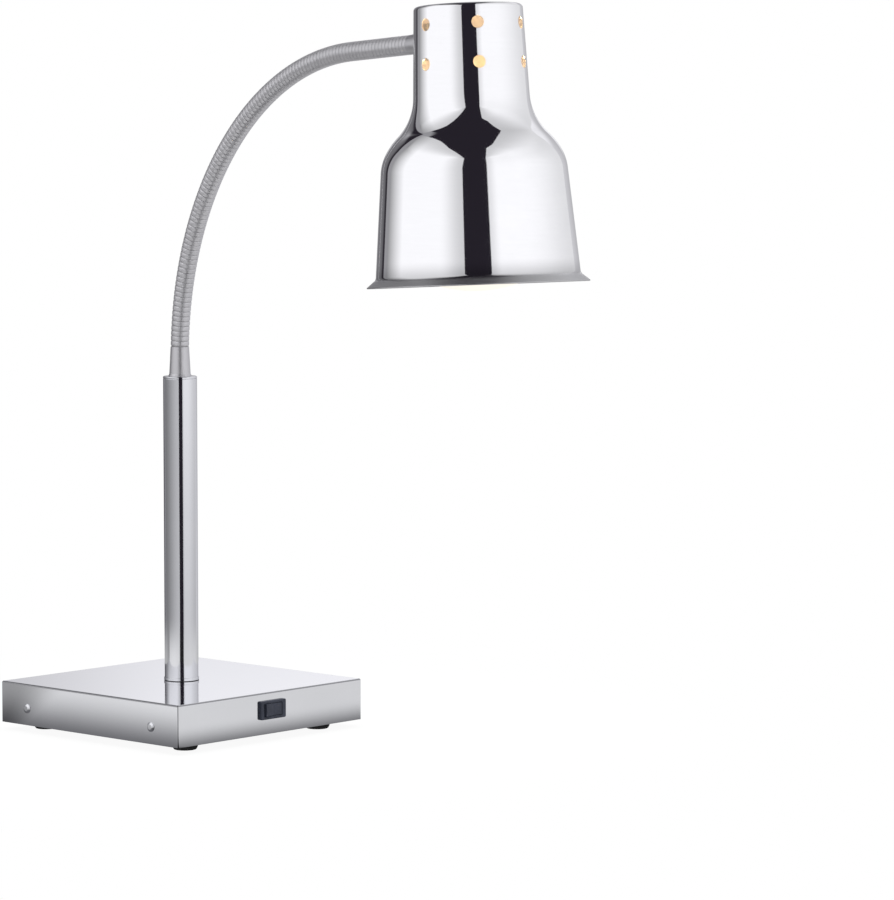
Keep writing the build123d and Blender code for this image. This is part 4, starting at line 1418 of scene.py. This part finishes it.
class HEATLAMP_OT_bulb(PieceOperator, bpy.types.Operator):
    """Build the infrared reflector bulb"""

    bl_idname = "heat_lamp.bulb"
    bl_label = "Bulb"

    def execute(self, context):
        axes = head_axes()
        finish = finish_of("Bulb glass", bulb_skin, shade_of("glow"), shade_of("ember"), axes)
        mesh = Mesh()
        mesh.sweep(axes, circle(128), self.profile(context.scene.lamp_head))
        settle(mesh.piece("Bulb", finish), "head", "bulb_glass", "bulb_glass")
        return {"FINISHED"}

    def profile(self, sizes):
        """Outline of the glass: domed face, rounded edge, tapered side, throat and neck."""
        face_radius, edge_radius, bend_radius, throat_radius = 104.0 * mm, 9.0 * mm, 31.0 * mm, 20.0 * mm
        side_turn, side_length = radians(30.0), 67.0 * mm
        stem, stem_start, stem_end = 12.5 * mm, 26.0 * mm, 34.0 * mm
        face_turn = asin((sizes.bulb_radius - edge_radius) / (face_radius - edge_radius))
        stops = [(Vector((0, -sizes.bulb_drop)), Vector((0, -1)))]
        heading = 0.0
        for radius, sweep, steps in (
            (face_radius, face_turn, 16),
            (edge_radius, pi / 2 - face_turn, 12),
            (bend_radius, side_turn, 10),
            (None, side_length, 12),
            (-throat_radius, -side_turn, 10),
        ):
            step = sweep / steps
            swing = 0.0 if radius is None else step
            chord = step if radius is None else 2 * abs(radius) * sin(abs(step) / 2)
            for _ in range(steps):
                onward = Vector((cos(heading + swing / 2), sin(heading + swing / 2)))
                heading += swing
                stops.append((stops[-1][0] + onward * chord, Vector((sin(heading), -cos(heading)))))
        runs = [(a[0], b[0], a[1], b[1]) for a, b in zip(stops, stops[1:])]
        end = stops[-1][0]
        neck = [
            (end.x, end.y),
            (end.x, end.y + 10.0 * mm, 6.0 * mm),
            (stem, end.y + stem_start, 4.0 * mm),
            (stem, end.y + stem_end),
            (0, end.y + stem_end),
        ]
        return runs + outline(neck, 6)


class HEATLAMP_OT_inner_pieces(PieceOperator, bpy.types.Operator):
    """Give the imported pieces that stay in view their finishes"""

    bl_idname = "heat_lamp.inner_pieces"
    bl_label = "Inner pieces"

    zinc_nodes = (
        "base_plate", "foot_screws", "post_bush", "post_washer", "post_nut",
        "arm_nipple", "arm_washer", "arm_nut", "holder_bracket", "holder_screws",
    )
    brass_nodes = ("switch_terminals", "terminal_screws", "holder_shell", "holder_contact", "bulb_cap")

    def execute(self, context):
        shade = shade_of("block")
        block = finish_of("Block plastic", moulded, shade, gloss=0.40, fineness=1200.0, relief=0.02 * mm)
        for finish, nodes in (
            (finish_of("Zinc plate", plated, shade_of("zinc"), gloss=0.30), self.zinc_nodes),
            (finish_of("Contact brass", plated, shade_of("brass"), gloss=0.22), self.brass_nodes),
            (finish_of("Ballast paint", painted_iron, shade_of("iron")), ("ballast_plate",)),
            (finish_of("Holder porcelain", porcelain, shade_of("porcelain")), ("lamp_holder",)),
            (block, ("terminal_block",)),
            (gland_plastic(), ("gland_nut",)),
            (steel(), ("arm_collar",)),
        ):
            for name in nodes:
                data = frame["nodes"][name].data
                data.materials.clear()
                data.materials.append(finish)
        return {"FINISHED"}


class HEATLAMP_OT_stage(PieceOperator, bpy.types.Operator):
    """Set up the floor, the soft white panels, the sky and the camera"""

    bl_idname = "heat_lamp.stage"
    bl_label = "Stage"

    def execute(self, context):
        stage = context.scene.lamp_stage
        self.ahead = Vector((sin(stage.yaw), -cos(stage.yaw), 0))
        self.right = Vector((cos(stage.yaw), sin(stage.yaw), 0))
        context.scene.view_settings.view_transform = "Standard"
        self.add_floor(stage)
        self.add_table(context.scene.lamp_base.side / 2)
        self.add_panels(stage)
        self.add_overhead(context, stage)
        self.add_sky(context)
        self.add_camera(context, stage)
        return {"FINISHED"}

    def at(self, towards, right, height):
        """Place on the stage: towards the camera, to its right, and up."""
        return self.ahead * towards + self.right * right + upward * height

    def disc(self, name, radius, height, material):
        """Flat round sheet on the stage."""
        rings = 8
        mesh = Mesh()
        runs = outline([(radius * (rings - step) / rings, height) for step in range(rings + 1)])
        mesh.sweep(floor_axes, circle(64), runs)
        made = mesh.piece(name, material)
        return made

    def add_floor(self, stage):
        """Pale floor that turns plain white away from the lamp and that polished metal doesn't show."""
        white_near, white_far = 0.93, 1.0
        finish = Finish("Stage floor")
        away = finish.vector("LENGTH", finish.here(), output="Value")
        tone = finish.vary(finish.noise(scale=3.0, detail=2.0), tuple(stage.floor), 0.99, 1.0)
        finish.set({"Base Color": tone, "Roughness": 0.8, "Specular IOR Level": 0.0})
        white = finish.node("ShaderNodeEmission", {}, {"Color": (1, 1, 1, 1), "Strength": 1.0})
        far = finish.step(away, 0.05, 0.5, white_near, white_far)
        finish.show(finish.node("ShaderNodeMixShader", {}, {0: far, 1: finish.surface, 2: white}))
        made = self.disc("Stage_floor", 40.0, 0.0, finish.material)
        made.visible_glossy = False

    def shine(self, finish, light):
        """Let a finish give light and do nothing else."""
        dark = {"Base Color": (0, 0, 0), "Specular IOR Level": 0.0}
        finish.set({**dark, "Emission Color": light, "Emission Strength": 1.0})

    def add_table(self, base_half):
        """Floor as polished metal shows it, with painted light and shade: grey on the left, dark towards the
        camera, light on the right, a painted shadow round the base.
        """
        radius, lift = 0.8, 0.3 * mm
        fade_start, fade_end = 0.42, 0.78
        base_shadow_tone, open_tone = (0.17, 0.17, 0.18), (1.0, 1.0, 1.0)
        base_shadow_reach, right_squeeze = 0.2, 1.8
        tones = {
            -180: 0.45, -150: 0.5, -115: 0.52, -96: 0.42, -88: 0.38, -85: 0.55, -82: 0.88, -77: 0.88,
            -60: 0.92, -40: 0.94, -10: 0.86, -5: 0.02, 17: 0.02, 20: 0.80, 60: 0.82, 110: 0.78,
            140: 0.62, 180: 0.45,
        }
        finish = Finish("Stage table")
        here = finish.here()
        ahead, right = finish.dot(here, self.ahead), finish.dot(here, self.right)
        tone = finish.tone_round(finish.bearing(ahead, right), tones)
        x, y = (finish.maths("ABSOLUTE", part) for part in finish.first_two(here))
        # Painted shadow of the base: the sheet darkens close to the housing, more sharply on the right.
        squeeze = finish.step(right, -0.05, 0.05, 1.0, right_squeeze)
        gap = (finish.maths("MAXIMUM", x, y) - base_half) * squeeze
        shade = finish.mix(finish.step(gap, 0.0, base_shadow_reach), base_shadow_tone, open_tone)
        away = finish.vector("LENGTH", here, output="Value")
        self.shine(finish, finish.vector("MULTIPLY", tone, shade))
        finish.set({"Alpha": finish.step(away, fade_start, fade_end, 1.0, 0.0)})
        made = self.disc("Stage_table", radius, lift, finish.material)
        for kind in ("camera", "diffuse", "transmission", "shadow", "volume_scatter"):
            setattr(made, f"visible_{kind}", False)

    def add_panel(self, name, foot, head, shading):
        """Panel of soft light between two lines of points, each (towards the camera, right, height).

        The shading gives its brightness from the shares of the way along the lines and up between them.
        """
        blue = 1.02
        finish = Finish(name)
        tone = shading(finish, *finish.first_two(finish.here("UV")))
        self.shine(finish, finish.node("ShaderNodeCombineXYZ", {}, {0: tone, 1: tone, 2: tone * blue}))
        mesh = Mesh()
        low = mesh.ring([self.at(*spot) for spot in foot])
        high = mesh.ring([self.at(*spot) for spot in head])
        mesh.band(low, high, closed=False)
        made = mesh.piece(name, finish.material)
        sheet = made.data.uv_layers.new(name="panel")
        last = len(foot) - 1
        for loop in made.data.loops:
            number = loop.vertex_index
            sheet.data[loop.index].uv = (number % len(foot) / last, float(number >= len(foot)))
        made.visible_camera = False
        made.visible_shadow = False

    def add_panels(self, stage):
        """Curved white walls left and right of a dark gap, grey low on the left, with a flat roof over each.

        The inner edges of the roofs, from the camera backwards, give the dark shape between them that the
        polished shade mirrors.
        """
        roof, waist, ground = 1.70, 0.40, -0.9
        left_edge = ((1.9, -0.19), (0.4, -0.43), (-0.476, -0.70), (-0.75, -1.33))
        right_edge = ((1.9, 0.66), (0.95, 0.50), (0.72, 0.61), (0.2, 0.65), (-0.99, 0.66))
        left = self.arc((1.9, -0.19), (-0.75, -1.33))
        right = self.arc((1.9, 0.66), (-0.99, 1.36))
        bright, grey = stage.panel, stage.low_left
        far_slope, far_level = 2.75, 0.34
        # Each change is (start, end, level before it, level after it) along a panel or up it
        left_near, right_near = (0.0, 0.26, 0.64, 1.0), (0.0, 0.1, 0.78, 1.0)
        right_far = (0.3, 1.0, bright, bright * 0.74)
        grey_along, grey_top = (0.0, 1.0, grey * 1.3, grey * 0.5), (0.835, 0.93)
        right_foot, right_head = (0.2, 0.52, 0.62, 1.0), (0.66, 1.0, 1.0, 0.94)
        left_over, right_over = (0.2, 1.0, 1.0, 0.62), (0.3, 1.0, 0.95, 0.62)

        def left_side(finish, along):
            fading = finish.maths("MINIMUM", (1 - along) * far_slope + far_level, bright)
            return fading * finish.step(along, *left_near)

        def left_wall(finish, along, rise):
            return left_side(finish, along)

        def low_left_wall(finish, along, rise):
            low = finish.step(along, *grey_along)
            return low + finish.step(rise, *grey_top) * (left_side(finish, along) - low)

        def left_roof(finish, along, rise):
            return left_side(finish, along) * finish.step(rise, *left_over)

        def right_side(finish, along):
            return finish.steps((along, *right_far), (along, *right_near))

        def right_wall(finish, along, rise):
            return right_side(finish, along) * finish.steps((rise, *right_foot), (rise, *right_head))

        def right_roof(finish, along, rise):
            return right_side(finish, along) * finish.step(rise, *right_over)

        def line(plan, height):
            return [(towards, across, height) for towards, across in plan]

        self.add_panel("Panel_left", line(left, waist), line(left, roof), left_wall)
        self.add_panel("Panel_low_left", line(left, ground), line(left, waist), low_left_wall)
        self.add_panel("Panel_right", line(right, ground), line(right, roof), right_wall)
        for name, plan, edge, shading in (
            ("Panel_left_roof", left, left_edge, left_roof),
            ("Panel_right_roof", right, right_edge, right_roof),
        ):
            inner = [(towards, self.edge_at(edge, towards)) for towards, _ in plan]
            self.add_panel(name, line(plan, roof), line(inner, roof), shading)

    def edge_at(self, edge, towards):
        """How far to the right a roof's edge is, at a distance towards the camera."""
        for (near, near_right), (far, far_right) in zip(edge, edge[1:]):
            if towards >= far:
                share = (near - towards) / (near - far)
                return near_right + (far_right - near_right) * share
        return edge[-1][1]

    def arc(self, near, far):
        """Plan of a curved panel from beside the camera round one side of the lamp."""
        steps = 60
        middle = Vector((0.2, 0.2))
        start, end = Vector(near) - middle, Vector(far) - middle
        first, last = atan2(start.y, start.x), atan2(end.y, end.x)
        plan = []
        for step in range(steps + 1):
            share = step / steps
            angle = first + (last - first) * share
            reach = start.length + (end.length - start.length) * share
            plan.append((middle.x + reach * cos(angle), middle.y + reach * sin(angle)))
        return plan

    def add_overhead(self, context, stage):
        """Soft light from above that polished metal doesn't show."""
        watts = 95.0
        data = bpy.data.lights.new("Overhead", "AREA")
        data.shape = "DISK"
        data.size = 3.2
        data.energy = watts * stage.overhead
        lamp = bpy.data.objects.new("Overhead", data)
        context.scene.collection.objects.link(lamp)
        lamp.location = self.at(0.1, 0.1, 2.6)
        lamp.visible_camera = False
        lamp.visible_glossy = False

    def add_sky(self, context):
        """Light behind the lamp, dark in front of it, and plain white for the camera.

        A ring of tones round the horizon carries a strip on the left, a card low behind the lamp and a haze
        high behind it, which the polished metal mirrors.
        """
        strip_light, haze_light = 0.30, 0.28
        least_light, blue = (0.02, 0.017, 0.024), 1.03
        tones = {
            -180: 0.45, -172: 0.28, -162: 0.17, -146: 0.15, -142: 0.11, -139: 0.01, -100: 0.0,
            90: 0.0, 106: 0.8, 140: 0.64, 160: 0.5, 180: 0.45,
        }
        world = bpy.data.worlds.new("Stage sky")
        world.use_nodes = True
        context.scene.world = world
        sky = Nodes(world.node_tree)
        here = sky.here("Generated")
        ahead, right, rise = (sky.dot(here, way) for way in (self.ahead, self.right, upward))
        bearing = sky.bearing(ahead, right)
        ring = sky.node("ShaderNodeSeparateColor", {}, {0: sky.tone_round(bearing, tones)})
        top = sky.step(right, -0.05, 0.1, 0.53, 0.8)
        ring = ring * sky.step(rise, top, top - 0.08)
        strip = sky.steps((bearing, 0.124, 0.127), (bearing, 0.170, 0.158), (rise, 0.86, 0.78))
        card_place = sky.steps((ahead, -0.94, -0.98), (rise, 0.06, 0.10), (rise, 0.24, 0.18))
        card_light = sky.steps((right, -0.115, -0.06, 0.30, 0.52), (rise, 0.133, 0.148, 0.95, 1.15))
        behind = ahead + sky.maths("ABSOLUTE", right) * 0.7
        haze = sky.steps((behind, -0.10, -0.17), (right, -0.52, -0.40), (rise, 0.3, 0.5))
        light = ring + strip * strip_light + card_place * card_light + haze * haze_light
        red, green, least_blue = least_light
        parts = {0: light + red, 1: light + green, 2: light * blue + least_blue}
        lit = sky.node("ShaderNodeCombineXYZ", {}, parts)
        seen = sky.node("ShaderNodeLightPath", output="Is Camera Ray")
        shown = sky.mix(seen, lit, (1.0, 1.0, 1.0))
        surface = sky.node("ShaderNodeBackground", {}, {"Color": shown, "Strength": 1.0})
        sky.node("ShaderNodeOutputWorld", {}, {"Surface": surface})

    def add_camera(self, context, stage):
        """Camera at the lamp's viewing angle."""
        data = bpy.data.cameras.new("Camera")
        data.lens = stage.lens
        data.sensor_width = 36.0
        data.clip_end = 100.0
        camera = bpy.data.objects.new("Camera", data)
        context.scene.collection.objects.link(camera)
        camera.location = stage.place
        camera.rotation_euler = (stage.pitch, 0.0, stage.yaw)
        context.scene.camera = camera


class HEATLAMP_PT_panel(bpy.types.Panel):
    """Sidebar panel that lists the lamp's sizes, colours and steps"""

    bl_idname = "HEATLAMP_PT_panel"
    bl_label = "Heat lamp"
    bl_space_type = "VIEW_3D"
    bl_region_type = "UI"
    bl_category = "Heat lamp"

    def draw(self, context):
        for attribute, (title, group) in groups.items():
            settings = getattr(context.scene, attribute)
            column = self.layout.box().column()
            column.label(text=title)
            for name in group.__annotations__:
                column.prop(settings, name)
        steps = self.layout.column()
        for step in operators:
            steps.operator(step.bl_idname)


groups = {
    "lamp_base": ("Base and post", BaseSizes),
    "lamp_neck": ("Hose and ferrules", NeckSizes),
    "lamp_head": ("Shade and bulb", HeadSizes),
    "lamp_finishes": ("Finishes", Finishes),
    "lamp_stage": ("Stage", StageSettings),
}
operators = (
    HEATLAMP_OT_base_housing,
    HEATLAMP_OT_feet,
    HEATLAMP_OT_rivets,
    HEATLAMP_OT_switch,
    HEATLAMP_OT_cable_gland,
    HEATLAMP_OT_post,
    HEATLAMP_OT_ferrules,
    HEATLAMP_OT_hose,
    HEATLAMP_OT_shade,
    HEATLAMP_OT_bulb,
    HEATLAMP_OT_inner_pieces,
    HEATLAMP_OT_stage,
)


def register():
    for attribute, (title, group) in groups.items():
        bpy.utils.register_class(group)
        setattr(bpy.types.Scene, attribute, PointerProperty(type=group, name=title))
    for kind in (*operators, HEATLAMP_PT_panel):
        bpy.utils.register_class(kind)


def unregister():
    for kind in reversed((*operators, HEATLAMP_PT_panel)):
        bpy.utils.unregister_class(kind)
    for attribute, (_, group) in groups.items():
        delattr(bpy.types.Scene, attribute)
        bpy.utils.unregister_class(group)


def main():
    register()
    for step in operators:
        getattr(bpy.ops.heat_lamp, step.bl_idname.partition(".")[2])()


if __name__ == "__main__":
    main()
